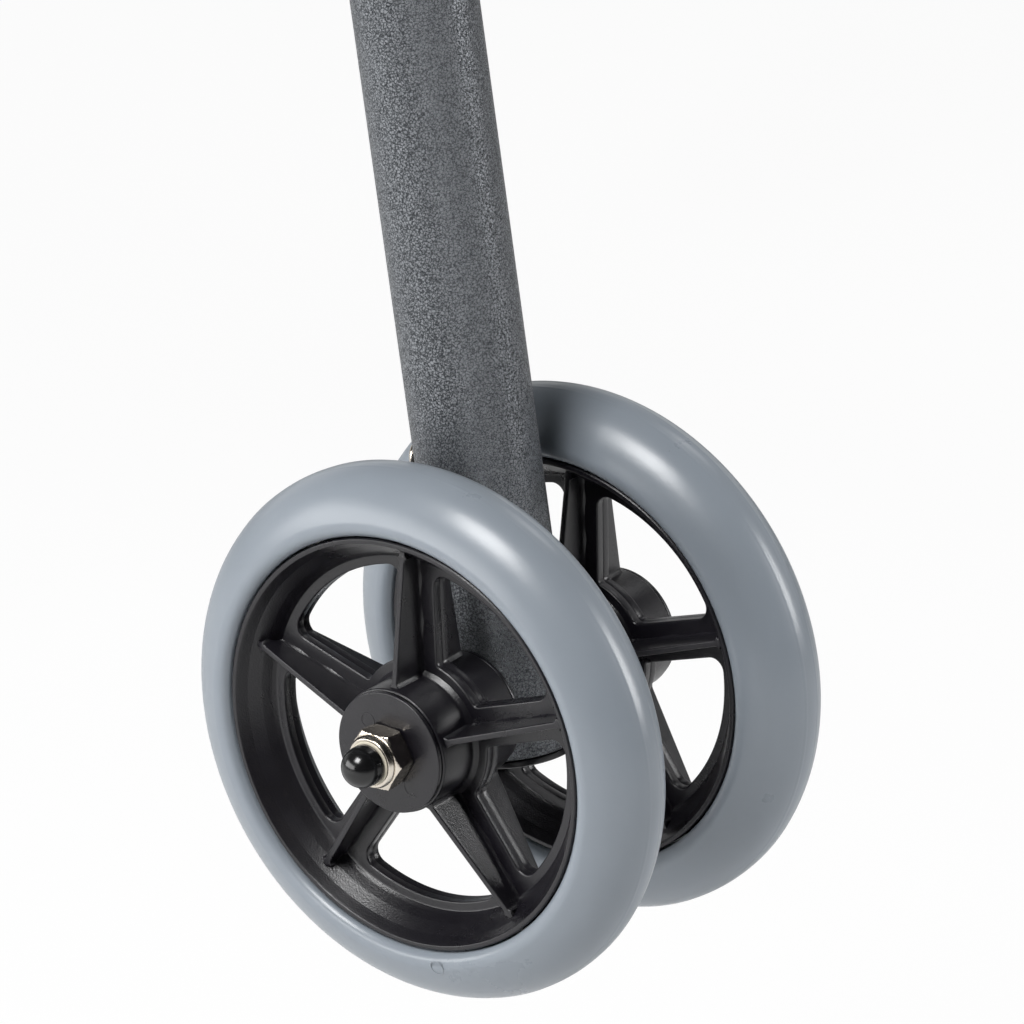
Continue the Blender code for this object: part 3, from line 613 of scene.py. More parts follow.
def rib_surface(turn):
    """A plate over both faces: half thickness by height, with fillets at web, hub and dish."""
    r = np.concatenate([[13.6, 13.6], np.linspace(14.6, 17, 7), np.linspace(18, 41, 18),
                        np.linspace(41.6, 44.6, 8), [45.4, 45.4]])
    top = RIB_AT_HUB + (r - HUB_RADIUS) * (RIB_AT_RIM - RIB_AT_HUB) / (RIB_OUT - HUB_RADIUS)
    phi = np.linspace(0, np.pi / 2, 5)
    level = np.concatenate([np.linspace(-1, -0.36, 9), np.linspace(-0.33, 0.33, 15), np.linspace(0.36, 1, 9)])
    h = level[:, None] * (top - RIB_EDGE)[None]
    thick = RIB_MIDDLE - RIB_TAPER * np.abs(level)[:, None] + fillet(np.abs(h) - WEB_HALF, 0.8)
    thick = thick + fillet(r - HUB_RADIUS, 1.0)[None] + fillet(44.2 - r, 1.0)[None] * (np.abs(h) > 2.0)
    cap_h = (top - RIB_EDGE)[None] + RIB_EDGE * np.sin(phi)[1:, None]
    cap_t = thick[-1:] - RIB_EDGE * (1 - np.cos(phi)[1:, None])
    h = np.concatenate([-cap_h[::-1], h, cap_h])
    thick = np.concatenate([cap_t[::-1], thick, cap_t])
    thick[:, [0, -1]] = 0
    loop_h = np.concatenate([h, h[::-1]])
    loop_t = np.concatenate([thick, -thick[::-1]])
    x = np.broadcast_to(r, loop_h.shape)
    c, s = math.cos(turn), math.sin(turn)
    points = np.stack([x * s + loop_t * c, loop_h, x * c - loop_t * s], -1)
    return points.reshape(-1, 3), quads(len(loop_h), len(r), True, False)


def rim_surface(first):
    """The ring, the hub, the web and ten ribs as one closed set of shells."""
    dish = [(48.9, 10.15), (48.6, 10.5), (47.7, 10.5), (47.35, 9.9), (46.2, 7.9), (44.2, 5.2),
            (42.95, 3.2), (42.3, 2.32), (41.6, 2.22), (41.6, 0.0)]
    front = rounded(dish, [0, 0.3, 0.35, 0.8, 1.2, 2.0, 1.0, 0.5, 0, 0], 5, False)
    ring = turned(np.concatenate([front, (front * [1, -1])[::-1][1:]]), 224)
    collar = HUB_RADIUS + 1.2
    hub = lathe([(BORE, HUB_OUT), (HUB_RADIUS, HUB_OUT), (HUB_RADIUS, 3.4), (collar, 2.2),
                 (collar, -2.2), (HUB_RADIUS, -3.4), (HUB_RADIUS, -HUB_IN), (BORE, -HUB_IN)],
                [0.4, 0.5, 1.2, 0.3, 0.3, 1.2, 0.5, 0.4], 4, 144)
    step = 2 * math.pi / SPOKES
    return joined([ring, hub, web_surface(first)] + [rib_surface(first + n * step) for n in range(SPOKES)])


# %% Wheels in place
WHEEL_OFFSET = 29.65
FIRST_SPOKE = {"outer": math.radians(-2.6), "inner": math.radians(-1.0)}
DISC_RADIUS, DISC_THICK, GAP = 14.3, 1.0, 0.3


def wheel_place(surface, outward):
    """A wheel's surface moved out to its place: the side's outward, or turned to the inner side."""
    return surface[0] * [1, outward, 1] + [0, outward * WHEEL_OFFSET, 0], surface[1]


def washer(low, high, edges, steps):
    """A flat ring round the axle with rounded edges."""
    return lathe([(BORE, high), (DISC_RADIUS, high), (DISC_RADIUS, low), (BORE, low)], edges, 4, steps)


def disc_surface():
    """The flat disc at the hub's end, with a small ring and a crescent from its mould."""
    low, high = HUB_OUT + GAP, HUB_OUT + GAP + DISC_THICK
    return joined([washer(low, high, [0.1, 0.3, 0.15, 0.1], 144), mark(8.6, -42.6, 1.8, high, 0.12),
                   mark(9.26, 134.3, 2.3, high, 0.14, (150, 290))])


tyre = joined([tyre_surface(), mark(52.4, 167.6, 1.7, 12.05, 0.16, slope=-0.32)])
for side in WAYS:
    for place, first in FIRST_SPOKE.items():
        for part, surface, finish, replaced in (
                ("tyre", tyre, TYRE, "tyre"), ("rim", rim_surface(first), NYLON, "rim"),
                ("disc", disc_surface(), NYLON, "hub_disc")):
            add_piece(side, f"{place}_fine_{part}", wheel_place(surface, 1 if place == "outer" else -1),
                      "axle", place + "_wheel", finish, [f"{place}_{replaced}"])
print("wheels:", len(made), "pieces")

# %% [markdown]
# ## Axle hardware
# An M8 bolt carries both wheels. Its lock nut has a hexagon with a chamfered crown, and above it
# a turned collar that holds a cream nylon ring. A glossy domed cap is pushed over the thread.

# %% Nut, bolt, cap and washers
FLATS, HEX_STEPS, HUB_FACE = 13.0, 144, WHEEL_OFFSET + HUB_OUT + GAP + DISC_THICK + GAP
HEX_HEIGHT, BOLT_HEAD, NUT_TOP, COLLAR_OUT = 5.2, 5.3, 6.9, 5.75
CONE, CROWN, HEX_FOOT = math.tan(math.radians(30)), 1.1, 0.25
THREAD_LENGTH, THREAD_RADIUS, THREAD_DEPTH, CAP_RADIUS, CAP_RISE = 8.6, 3.9, 0.35, 4.75, 4.65


def hexagon(low, high, bore, turn):
    """Radius is the smallest of the hexagon, a 30 degree cone at the crown and a steep one below."""
    t = np.arange(HEX_STEPS) * 2 * np.pi / HEX_STEPS
    flats = FLATS / 2 / np.cos((t - turn) % (np.pi / 3) - np.pi / 6)
    height = np.concatenate([low + HEX_FOOT * np.linspace(0, 1, 3), [(low + high) / 2],
                             high - CROWN * np.linspace(1, 0, 9)])
    cone = FLATS / 2 - 0.15 + (high - height) / CONE
    heel = FLATS / 2 + 0.25 + (height - low) * 2.2
    bore = np.full((1, HEX_STEPS), bore)
    r = np.concatenate([bore, np.minimum(flats[None], np.minimum(cone, heel)[:, None]), bore])
    h = np.concatenate([[low], height, [high]])[:, None]
    points = np.stack([r * np.sin(t), np.broadcast_to(h, r.shape), r * np.cos(t)], -1)
    return points.reshape(-1, 3), quads(len(h), HEX_STEPS, True, True)


def nut_surface():
    """A hexagon with a turned collar above it."""
    profile = np.array([(4.6, 4.4), (6.25, 4.4), (6.25, 5.7), (COLLAR_OUT, NUT_TOP - 0.15),
                        (5.2, NUT_TOP - 0.15), (5.0, 6.1), (4.6, 6.1)]) + [0, HUB_FACE]
    collar = lathe(profile, [0, 0.1, 0.5, 0.35, 0.1, 0.1, 0])
    return joined([hexagon(HUB_FACE, HUB_FACE + HEX_HEIGHT, 4.15, math.pi / 2), collar])


def liner_surface():
    """The nylon ring inside the collar, which grips the thread."""
    low, high = HUB_FACE + 5.9, HUB_FACE + NUT_TOP
    return lathe([(4.2, low), (5.15, low), (5.15, high), (4.2, high)], [0, 0, 0.15, 0.1], 3)


def bolt_surface():
    """The shank with a pitch of thread at its nut end, and a head with a washer face."""
    head = hexagon(HUB_FACE + 0.3, HUB_FACE + BOLT_HEAD, 3.0, 0.0)
    head = head[0] * [1, -1, 1], head[1]
    top, foot = -HUB_FACE - 0.6, -HUB_FACE
    face = lathe([(3.0, top), (6.1, top), (6.1, foot), (3.0, foot)], [0, 0, 0.1, 0], 3)
    thread = np.arange(0, THREAD_LENGTH, 0.3125)
    crest = THREAD_RADIUS - THREAD_DEPTH * (np.arange(len(thread)) % 4 >= 2)
    profile = np.concatenate([[(0, foot - 3.0), (THREAD_RADIUS, foot - 3.0)],
                              np.stack([crest, HUB_FACE + thread], -1), [(0, HUB_FACE + 8.7)]])
    return joined([head, face, turned(profile, 48, closed=False)])


def cap_surface():
    """A dome on a short skirt with a small bead at its foot."""
    base = HUB_FACE + NUT_TOP + GAP
    skirt = rounded([(CAP_RADIUS, base + 2.0), (4.8, base + 0.9), (4.8, base), (4.25, base),
                     (4.25, base + 1.9), (0, base + 1.9)], [0, 0.4, 0.2, 0.1, 0.4, 0], 4, False)
    return turned(np.concatenate([dome(CAP_RADIUS, base + 2.0, CAP_RISE, 22), skirt[1:]]), closed=False)


leg_washer = washer(14.6, 15.6, [0.1, 0.3, 0.3, 0.1], 96)
for side in WAYS:
    for name, surface, finish, replaced in (
            ("fine_nut", nut_surface(), ZINC, ["lock_nut"]), ("nut_liner", liner_surface(), LINER, []),
            ("fine_bolt", bolt_surface(), ZINC, ["axle_bolt"]),
            ("fine_cap", cap_surface(), CAP, ["dust_cap"])):
        add_piece(side, name, surface, "axle", "front_leg", finish, replaced)
    for place, outward in (("outer", 1), ("inner", -1)):
        add_piece(side, place + "_fine_washer", (leg_washer[0] * [1, outward, 1], leg_washer[1]), "axle",
                  "front_leg", NYLON, [place + "_leg_washer"])

# %% [markdown]
# ## Legs
# Each leg is a plain round tube that slides in the side frame. Real holes matter here, because
# the spring button is seen through them, so they are cut with a Boolean, which is then applied.

# %% Lower legs, their plug, rivet and spring buttons
LEG_OUT, LEG_IN, LEG_FOOT, LEG_TOP, LEG_BEVEL = 14.3, 12.7, -12.8, 402.4, 0.4
LAST_HOLE, HOLE_RADIUS, RIVET_HEIGHT, REAR_START, UP_AXIS = 357.4, 4.8, 56.0, 8.5, (0, 0, 1)
WHEEL_UP = 63.5
AXLE_HOLE = ("DIFFERENCE", rod(BORE, (0, -30, 0), (0, 30, 0), 32))


def leg_tube(low, high, hole_height, tools):
    """A round tube with a bevel at each end and a hole for the spring button."""
    outside = [(LEG_OUT - LEG_BEVEL, low), (LEG_OUT, low + LEG_BEVEL)]
    outside += [(LEG_OUT, h) for h in np.linspace(low + 2, high - 2, 12)]
    outside += [(LEG_OUT, high - LEG_BEVEL), (LEG_OUT - LEG_BEVEL, high), (LEG_IN, high), (LEG_IN, low)]
    snap_hole = ("DIFFERENCE", rod(HOLE_RADIUS, (0, 5, hole_height), (0, 30, hole_height), 32))
    return worked(turned(outside, 96, UP_AXIS), [snap_hole] + tools)


def snap_surface(height):
    """The button's dome on a flange that stays inside the tube."""
    return lathe([(0, 18.5), (4.4, 18.2), (4.4, 10.8), (6.0, 10.8), (6.0, 9.3), (0, 9.3)],
                 [0, 1.9, 0.2, 0.2, 0.2, 0], 6, 48, False, centre=(0, 0, height))


def plug_mesh():
    """The block inside the foot that carries the axle, with a lip below the leg."""
    return worked(lathe([(0, 66), (12.4, 66), (12.4, -13.1), (14.1, -13.1), (14.1, -14.6), (5.0, -14.6),
                         (5.0, -13.8), (0, -13.8)], [0, 0.6, 0, 0.1, 0.5, 0.2, 0.1, 0], 4, 64, False,
                        along=UP_AXIS), [AXLE_HOLE])


def rivet_surface():
    """A pin with a domed head, pointing back and a little outwards."""
    profile = np.concatenate([dome(3.1, LEG_OUT + 0.3, 1.15),
                              [(3.0, LEG_OUT + 0.05), (1.6, LEG_OUT), (1.6, 7), (0, 7)]])
    return turned(profile, 48, (-1.0, 0.45, 0.0), (0, 0, RIVET_HEIGHT), closed=False)


front_leg = leg_tube(LEG_FOOT, LEG_TOP, LAST_HOLE, [AXLE_HOLE])
rear_leg = leg_tube(REAR_START, LEG_TOP + WHEEL_UP, LAST_HOLE + WHEEL_UP, [])
plug = plug_mesh()
for side in WAYS:
    for name, shape, end, finish, replaced in (
            ("front_leg", front_leg, "front", PAINT, "front_leg_tube"),
            ("plug", plug, "front", NYLON, "axle_block"),
            ("rivet", rivet_surface(), "front", ZINC, "axle_rivet"),
            ("rear_leg", rear_leg, "rear", PAINT, "rear_leg_tube")):
        add_piece(side, "fine_" + name, shape, end, end + "_leg", finish, [replaced])
    for end, height in (("front", LAST_HOLE), ("rear", LAST_HOLE + WHEEL_UP)):
        add_piece(side, f"fine_{end}_snap", snap_surface(height), end, end + "_snap", ZINC,
                  [end + "_snap_button"])
print("pieces so far:", len(made))

# %% [markdown]
# ## Side frames
# One tube is bent into an upside-down U: up from the front leg, back along the hand grip, and down
# to the rear leg. Its path is two straight legs and a straight top with an arc at each corner.

# %% Bent side tube with its height holes
MAIN_OUT, MAIN_IN, BEND, HANDLE_UP, HANDLE_RUN = 15.9, 14.6, 65.0, 815.0, 270.0
MAIN_FOOT, FIRST_HOLE, HOLE_PITCH, HOLES = 180.0, 205.0, 25.4, 7
SPREAD = (AXLE_X - FOOT_X) / MM
FRONT_TOP = SPREAD - math.tan(FRONT_LEAN) * (HANDLE_UP - WHEEL_UP)
REAR_TOP = FRONT_TOP - HANDLE_RUN
FRONT_UP = np.array([-math.sin(FRONT_LEAN), 0.0, math.cos(FRONT_LEAN)])
REAR_UP = np.array([math.sin(REAR_LEAN), 0.0, math.cos(REAR_LEAN)])


def bend(corner, way_in, way_out, steps=18):
    """The arc of the bend's radius that touches both straight runs, point by point."""
    turn = math.acos(way_in @ way_out)
    start = corner - way_in * BEND * math.tan(turn / 2)
    inward = way_out - way_in * (way_in @ way_out)
    inward /= np.linalg.norm(inward)
    a = np.linspace(0, turn, steps + 1)[:, None]
    return start + BEND * (np.sin(a) * way_in + (1 - np.cos(a)) * inward)


def side_path():
    """The tube's middle line, from the front leg over both bends down to the rear leg."""
    back = np.array([-1.0, 0.0, 0.0])
    foot = np.array([SPREAD, 0, WHEEL_UP]) + FRONT_UP * MAIN_FOOT
    heel = REAR_UP * (MAIN_FOOT + WHEEL_UP)
    front = bend(np.array([FRONT_TOP, 0, HANDLE_UP]), FRONT_UP, back)
    rear = bend(np.array([REAR_TOP, 0, HANDLE_UP]), back, -REAR_UP)
    t = np.linspace(0, 1, 16)[:-1, None]
    down = (rear[-1] + (heel - rear[-1]) * t)[1:]
    return np.concatenate([foot + (front[0] - foot) * t, front, rear, down, heel[None]])


def hole_tools():
    """A round cutter for each height hole, through the outward wall of either leg."""
    steps = FIRST_HOLE + HOLE_PITCH * np.arange(HOLES)
    axle = np.array([SPREAD, 0, WHEEL_UP])
    points = [axle + FRONT_UP * h for h in steps] + [REAR_UP * (h + WHEEL_UP) for h in steps]
    return joined([rod(HOLE_RADIUS, p + [0, 5, 0], p + [0, 25, 0], 32) for p in points])


side_mesh = worked(pipe(side_path(), MAIN_OUT, MAIN_IN, 64), [("DIFFERENCE", hole_tools())])
print("side tube faces:", len(side_mesh.polygons))

# %% [markdown]
# ## Braces and welds
# A brace meets each leg at a saddle, the curve where one tube runs into another. The saddle is
# solved for each point of the brace's circle, and the same curve carries the weld's rippled bead.

# %% Braces with weld beads
BRACE_OUT, BRACE_IN, BRACE_HEIGHTS = 11.1, 9.6, {"lower": 450.0, "upper": 600.0}
BEAD_RADIUS, BEAD_RIPPLE, BEAD_RIPPLES = 1.9, 0.16, 44


def saddle(y, rise, height, front, reach):
    """Forward place where a level line meets a leaning leg: axis plus or minus root(R*R - y*y)."""
    lean = FRONT_LEAN if front else -REAR_LEAN
    axis = SPREAD - math.tan(FRONT_LEAN) * (height - WHEEL_UP) if front else math.tan(REAR_LEAN) * height
    deep = np.sqrt(reach ** 2 - y ** 2) * (-1 if front else 1)
    return axis + (deep - rise * math.sin(lean)) / math.cos(lean)


def brace_surface(height):
    """A level tube whose outer and inner walls both end on the legs' saddles."""
    t = np.arange(64) * 2 * np.pi / 64
    rows = []
    for radius, shares in ((BRACE_OUT, np.linspace(0, 1, 8)), (BRACE_IN, np.linspace(1, 0, 8))):
        y, rise = radius * np.sin(t), radius * np.cos(t)
        near, far = (saddle(y, rise, height, end, MAIN_OUT - 0.15) for end in (True, False))
        rows.append(np.stack([near + (far - near) * shares[:, None], np.broadcast_to(y, (8, 64)),
                              np.broadcast_to(height + rise, (8, 64))], -1))
    points = np.concatenate(rows)
    return points.reshape(-1, 3), quads(16, 64, True, True)


def bead_surface(height, front):
    """A small circle carried round the saddle, its radius rippled by the welder's steps."""
    t = np.arange(264) * 2 * np.pi / 264
    y, rise = BRACE_OUT * np.sin(t), BRACE_OUT * np.cos(t)
    line = np.stack([saddle(y, rise, height, front, MAIN_OUT), y, height + rise], -1)
    tangent = np.roll(line, -1, 0) - np.roll(line, 1, 0)
    tangent /= np.linalg.norm(tangent, axis=1)[:, None]
    out = np.stack([np.zeros_like(t), np.sin(t), np.cos(t)], -1)
    radii = BEAD_RADIUS + BEAD_RIPPLE * np.sin(BEAD_RIPPLES * t)
    return carried(line, out, np.cross(tangent, out), radii, 12)


# %% [markdown]
# ## Hand grips
# A vinyl grip is moulded with shallow hollows for the fingers underneath, fine ribs, and a thicker
# ring at each end. All of that is one radius that depends on the place along and round the grip.

# %% Grip
GRIP_BORE, GRIP_BODY, GRIP_RING, RING_WIDTH = 16.05, 18.4, 20.9, 4.6
FINGER_PITCH, FINGER_DEPTH, RIB_PITCH, RIB_DEPTH, END_DEPTH, END_WIDTH = 23.0, 0.45, 3.4, 0.16, 0.9, 0.35


def grip_surface():
    """A radius of 18.4, finger hollows on the underside, small ribs elsewhere, a ring at each end."""
    low = REAR_TOP + BEND * math.tan((math.pi / 2 - REAR_LEAN) / 2) + 3
    high = FRONT_TOP - BEND * math.tan((math.pi / 2 - FRONT_LEAN) / 2) - 3
    x = np.linspace(low, high, 260)[:, None]
    t = (np.arange(96) * 2 * np.pi / 96)[None]
    under = np.clip(-np.cos(t), 0, 1) ** 1.5
    edge = np.minimum(x - low, high - x)
    ring = (GRIP_RING - GRIP_BODY) / (1 + np.exp((edge - RING_WIDTH) * 2.2))
    body = 1 / (1 + np.exp(-(edge - 8) * 1.2))
    fingers = under * (1 + np.cos(2 * np.pi * (x - low - 19) / FINGER_PITCH)) / 2
    r = GRIP_BODY + ring - FINGER_DEPTH * body * fingers
    r = r + RIB_DEPTH * body * np.cos(2 * np.pi * x / RIB_PITCH) * (1 - under)
    r = r - END_DEPTH * np.exp(-edge / END_WIDTH)
    outer = np.stack([np.broadcast_to(x, r.shape), r * np.sin(t), HANDLE_UP + r * np.cos(t)], -1)
    bore = np.stack([np.broadcast_to([[high], [low]], (2, 96)), GRIP_BORE * np.sin(t) * [[1], [1]],
                     HANDLE_UP + GRIP_BORE * np.cos(t) * [[1], [1]]], -1)
    return np.concatenate([outer, bore]).reshape(-1, 3), quads(262, 96, True, True)


# %% Catch collar and rear tip
COLLAR_LOW, COLLAR_HIGH, COLLAR_RADIUS, LUG_REACH = 676.5, 691.5, 19.5, 29.5
TIP_RADIUS, TIP_NECK, TIP_TOP, NECK_LOW, NECK_HIGH, NECK_RING = 21.0, 18.2, 46.0, 14.5, 44.5, 7.5


def collar_surface():
    """A ring round the front leg with a rounded lug on its inner side."""
    ring = lathe([(16.0, COLLAR_HIGH), (COLLAR_RADIUS, COLLAR_HIGH), (COLLAR_RADIUS, COLLAR_LOW),
                  (16.0, COLLAR_LOW)], [0.3, 1.0, 1.0, 0.3], 5, along=UP_AXIS)
    lug = soft_box((-5, -17.5, COLLAR_LOW + 1), (5, -LUG_REACH, COLLAR_HIGH - 1), 1.2)
    return worked(ring, [("UNION", lug)])


def tip_surface():
    """Four soft rings round the neck, a flared foot, and a ringed tread, with a leaning bore."""
    z = np.linspace(NECK_HIGH, NECK_LOW, 90)
    swell = TIP_NECK - 1.1 + 1.1 * np.abs(np.cos(np.pi * (z - NECK_LOW) / NECK_RING)) ** 0.6
    foot = rounded([(TIP_NECK, 14.2), (TIP_RADIUS, 7.5), (TIP_RADIUS, 0), (17.0, 0), (16.6, 1.0),
                    (13.4, 1.0), (13.0, 0), (7.0, 0), (6.6, 1.0), (0, 1.0)],
                   [1.5, 3.0, 0.7] + [0.2] * 6 + [0], 4, False)
    profile = np.concatenate([[(0, TIP_TOP), (16.9, TIP_TOP), (17.6, TIP_TOP - 0.4), (TIP_NECK, 45.0)],
                              np.stack([swell, z], -1), foot])
    return worked(turned(profile, 96, UP_AXIS, closed=False),
                  [("DIFFERENCE", rod(LEG_OUT + 0.1, REAR_UP * (REAR_START - 0.3), REAR_UP * 60, 96))])


collar_mesh, tip_mesh = collar_surface(), tip_surface()
for side in WAYS:
    add_piece(side, "fine_side_tube", side_mesh, "foot", "side", PAINT, ["side_tube"])
    for level, height in BRACE_HEIGHTS.items():
        beads = joined([bead_surface(height, end) for end in (True, False)])
        add_piece(side, level + "_fine_brace", brace_surface(height), "foot", "side", PAINT,
                  [level + "_side_brace"])
        add_piece(side, level + "_weld_beads", beads, "foot", "side", PAINT)
    add_piece(side, "fine_grip", grip_surface(), "foot", "side", GRIP, ["hand_grip"])
    add_piece(side, "fine_collar", collar_mesh, "front", "side", ZINC, ["catch_collar"])
    add_piece(side, "fine_tip", tip_mesh, "foot", "rear_leg", RUBBER, ["rear_tip"])
print("side frames done, pieces:", len(made))

# %% [markdown]
# ## Front brace
# Two level tubes join the front legs. Each ends in the socket of a nylon bracket, whose sleeve
# turns on the leg when the walker folds. The bracket is solid shapes joined and then bored, so it
# is made once with Booleans, like the release housing, and stood on both sides and at both levels.

# %% Brackets, cross tubes and their rivets
LOWER_LEVEL, UPPER_LEVEL, CROSS_FORWARD, CROSS_OUT, CROSS_IN = 455.0, 645.0, 36.0, 12.7, 11.2
SLEEVE_RADIUS, SLEEVE_HALF, SOCKET_RADIUS, SOCKET_REACH = 20.0, 30.0, 16.0, 46.0


def bracket_mesh():
    """A sleeve with a waist, a web, and a socket across the leg, bored for both tubes."""
    sleeve = lathe([(0, SLEEVE_HALF), (SLEEVE_RADIUS, SLEEVE_HALF), (SLEEVE_RADIUS, 25), (19.1, 24),
                    (19.1, -24), (SLEEVE_RADIUS, -25), (SLEEVE_RADIUS, -SLEEVE_HALF), (0, -SLEEVE_HALF)],
                   [0, 1.2, 0.5, 0.5, 0.5, 0.5, 1.2, 0], 4, 96, False, along=UP_AXIS)
    web = soft_box((0, -14, -14.2), (CROSS_FORWARD, 14, 14.2), 2.5)
    socket = lathe([(0, 14.6), (SOCKET_RADIUS, 14.6), (SOCKET_RADIUS, -41), (15.2, -42),
                    (15.2, -SOCKET_REACH), (0, -SOCKET_REACH)], [0, 2.0, 0.5, 0.5, 1.0, 0], 5, 96, False,
                   along=(0, 1, 0), centre=(CROSS_FORWARD, 0, 0))
    return worked(sleeve, [
        ("UNION", web), ("UNION", socket),
        ("DIFFERENCE", rod(MAIN_OUT + 0.15, (0, 0, -40), (0, 0, 40), 96)),
        ("DIFFERENCE", rod(CROSS_OUT + 0.1, (CROSS_FORWARD, -10, 0), (CROSS_FORWARD, -60, 0), 96)),
    ])


def socket_rivet():
    """A domed head on the front of the socket, which pins the cross tube."""
    foot = CROSS_FORWARD + SOCKET_RADIUS - 0.5
    profile = np.concatenate([dome(3.4, foot + 0.4, 1.3),
                              [(3.3, foot + 0.1), (2.0, foot - 1.5), (0, foot - 1.5)]])
    return turned(profile, 48, (1, 0, 0), (0, -30, 0), closed=False)


def cross_tube(level):
    """The tube between both front legs, its ends 12 mm inward of the legs' middles."""
    end, other = -12.0, -12.0 - 2 * (HALF_TRACK / MM - 12.0)
    profile = [(CROSS_OUT, end), (CROSS_OUT, end - 200), (CROSS_OUT, other + 200), (CROSS_OUT, other),
               (CROSS_IN, other), (CROSS_IN, end)]
    return turned(profile, 96, (0, 1, 0), (CROSS_FORWARD, 0, level))


bracket, levels = bracket_mesh(), {"lower": LOWER_LEVEL, "upper": UPPER_LEVEL}
for level, height in levels.items():
    add_piece("", level + "_fine_cross_tube", cross_tube(height), "front", "front_brace", PAINT,
              [level + "_cross_tube"])
    for side in WAYS:
        add_piece(side, level + "_fine_bracket", bracket, "front", "front_brace", NYLON,
                  [level + "_fold_bracket"], height)
        add_piece(side, level + "_socket_rivet", socket_rivet(), "front", "front_brace", ZINC, lift=height)

# %% [markdown]
# ## Release
# A thumb pushes the red button down into its housing, which draws the steel bolt back.

# %% Housing, button and bolt
BUTTON_FORWARD, BUTTON_IN, BUTTON_RADIUS, BUTTON_TOP, DISH_RADIUS = 32.0, 70.5, 9.0, 58.2, 6.8
BOLT_FORWARD, BOLT_UP, BOLT_RADIUS, BOLT_TIP, BOLT_END = 10.0, 39.0, 4.5, 30.3, 63.5


def housing_mesh():
    """A soft block with bores for the cross tube, the lock bolt and the button."""
    block = soft_box((3, -93.5, -2), (56, -47.5, 48), 4.0, 8)
    bores = ((CROSS_OUT + 0.15, (CROSS_FORWARD, -42, 0), (CROSS_FORWARD, -99, 0), 96),
             (BOLT_RADIUS + 0.2, (BOLT_FORWARD, -42, BOLT_UP), (BOLT_FORWARD, -75.5, BOLT_UP), 48),
             (BUTTON_RADIUS + 0.25, (BUTTON_FORWARD, -BUTTON_IN, 19), (BUTTON_FORWARD, -BUTTON_IN, 55), 96))
    return worked(block, [("DIFFERENCE", rod(*bore)) for bore in bores])


def well_rim():
    """A raised lip round the button's well, with a second, lower ring outside it."""
    return lathe([(9.3, 47.5), (9.3, 48.9), (10.6, 48.9), (10.9, 48.3), (12.6, 48.3), (12.9, 47.5)],
                 [0, 0.4, 0.4, 0.2, 0.4, 0], along=UP_AXIS, centre=(BUTTON_FORWARD, -BUTTON_IN, 0))


def button_surface():
    """A slightly dished top with three raised rings for the thumb."""
    r = np.linspace(0, DISH_RADIUS, 90)
    rings = 0.22 * np.clip(np.cos(2 * np.pi * r / 2.2), 0, 1) * (r > 1)
    top = BUTTON_TOP + 0.5 * (r / DISH_RADIUS) ** 2 + rings
    edge = rounded([(6.9, 58.8), (BUTTON_RADIUS, 57.6), (BUTTON_RADIUS, 30), (0, 30)], [0, 1.4, 0.4, 0],
                   6, False)
    profile = np.concatenate([np.stack([r, top], -1), edge])
    return turned(profile, 72, UP_AXIS, (BUTTON_FORWARD, -BUTTON_IN, 0), closed=False)


housing = housing_mesh()
lock_bolt = rod(BOLT_RADIUS, (BOLT_FORWARD, -BOLT_TIP, BOLT_UP), (BOLT_FORWARD, -BOLT_END, BOLT_UP), 64, 0.8)
for side in WAYS:
    for name, shape, body, finish, replaced in (
            ("fine_housing", housing, "front_brace", NYLON, ["release_housing"]),
            ("well_rim", well_rim(), "front_brace", NYLON, []),
            ("fine_button", button_surface(), "release_button", RED, ["release_button"]),
            ("fine_lock_bolt", lock_bolt, "lock_bolt", ZINC, ["lock_bolt"])):
        add_piece(side, name, shape, "front", body, finish, replaced, UPPER_LEVEL)
print("front brace done, pieces:", len(made))

# %% [markdown]
# ## Floor, light and camera
# The floor and the background are plain and pale. The floor lies 153 mm below the feet, which is
# where they stand when all four legs are drawn out, so that it hides no leg at any pose. Soft
# lights stand at both sides and above, and the side of the camera stays darker, which gives round
# tubes their dark middle.

# %% Floor and world
WHITE = (1.0, 1.0, 1.0, 1.0)


def pale_floor():
    """Nearly white where the camera sees it, and a duller grey for the light that it throws back."""
    material = bpy.data.materials.new("pale_floor")
    material.use_nodes = True
    tree = material.node_tree
    shader = tree.nodes["Principled BSDF"]
    shader.inputs["Base Color"].default_value = (0.82, 0.82, 0.82, 1.0)
    shader.inputs["Roughness"].default_value = 0.9
    shader.inputs["Emission Color"].default_value = WHITE
    shader.inputs["Emission Strength"].default_value = 0.06
    seen = node(tree, "ShaderNodeEmission", Color=WHITE, Strength=1.0)
    ray = node(tree, "ShaderNodeLightPath")
    share = worked_out(tree, "MULTIPLY", ray.outputs["Is Camera Ray"], 0.93)
    mix = node(tree, "ShaderNodeMixShader", [(0, share), (1, shader.outputs[0]), (2, seen.outputs[0])])
    tree.links.new(mix.outputs[0], tree.nodes["Material Output"].inputs["Surface"])
    return material


FLOOR_SIZE, FLOOR_DEPTH = 60.0, 0.153
corners = [(-1, -1, 0), (1, -1, 0), (1, 1, 0), (-1, 1, 0)]
floor_points = np.array(corners) * FLOOR_SIZE / 2 - [0, 0, FLOOR_DEPTH]
floor = new_object("floor", mesh_from("floor", (floor_points, np.array([[0, 1, 2, 3]]))))
floor.data.materials.append(pale_floor())

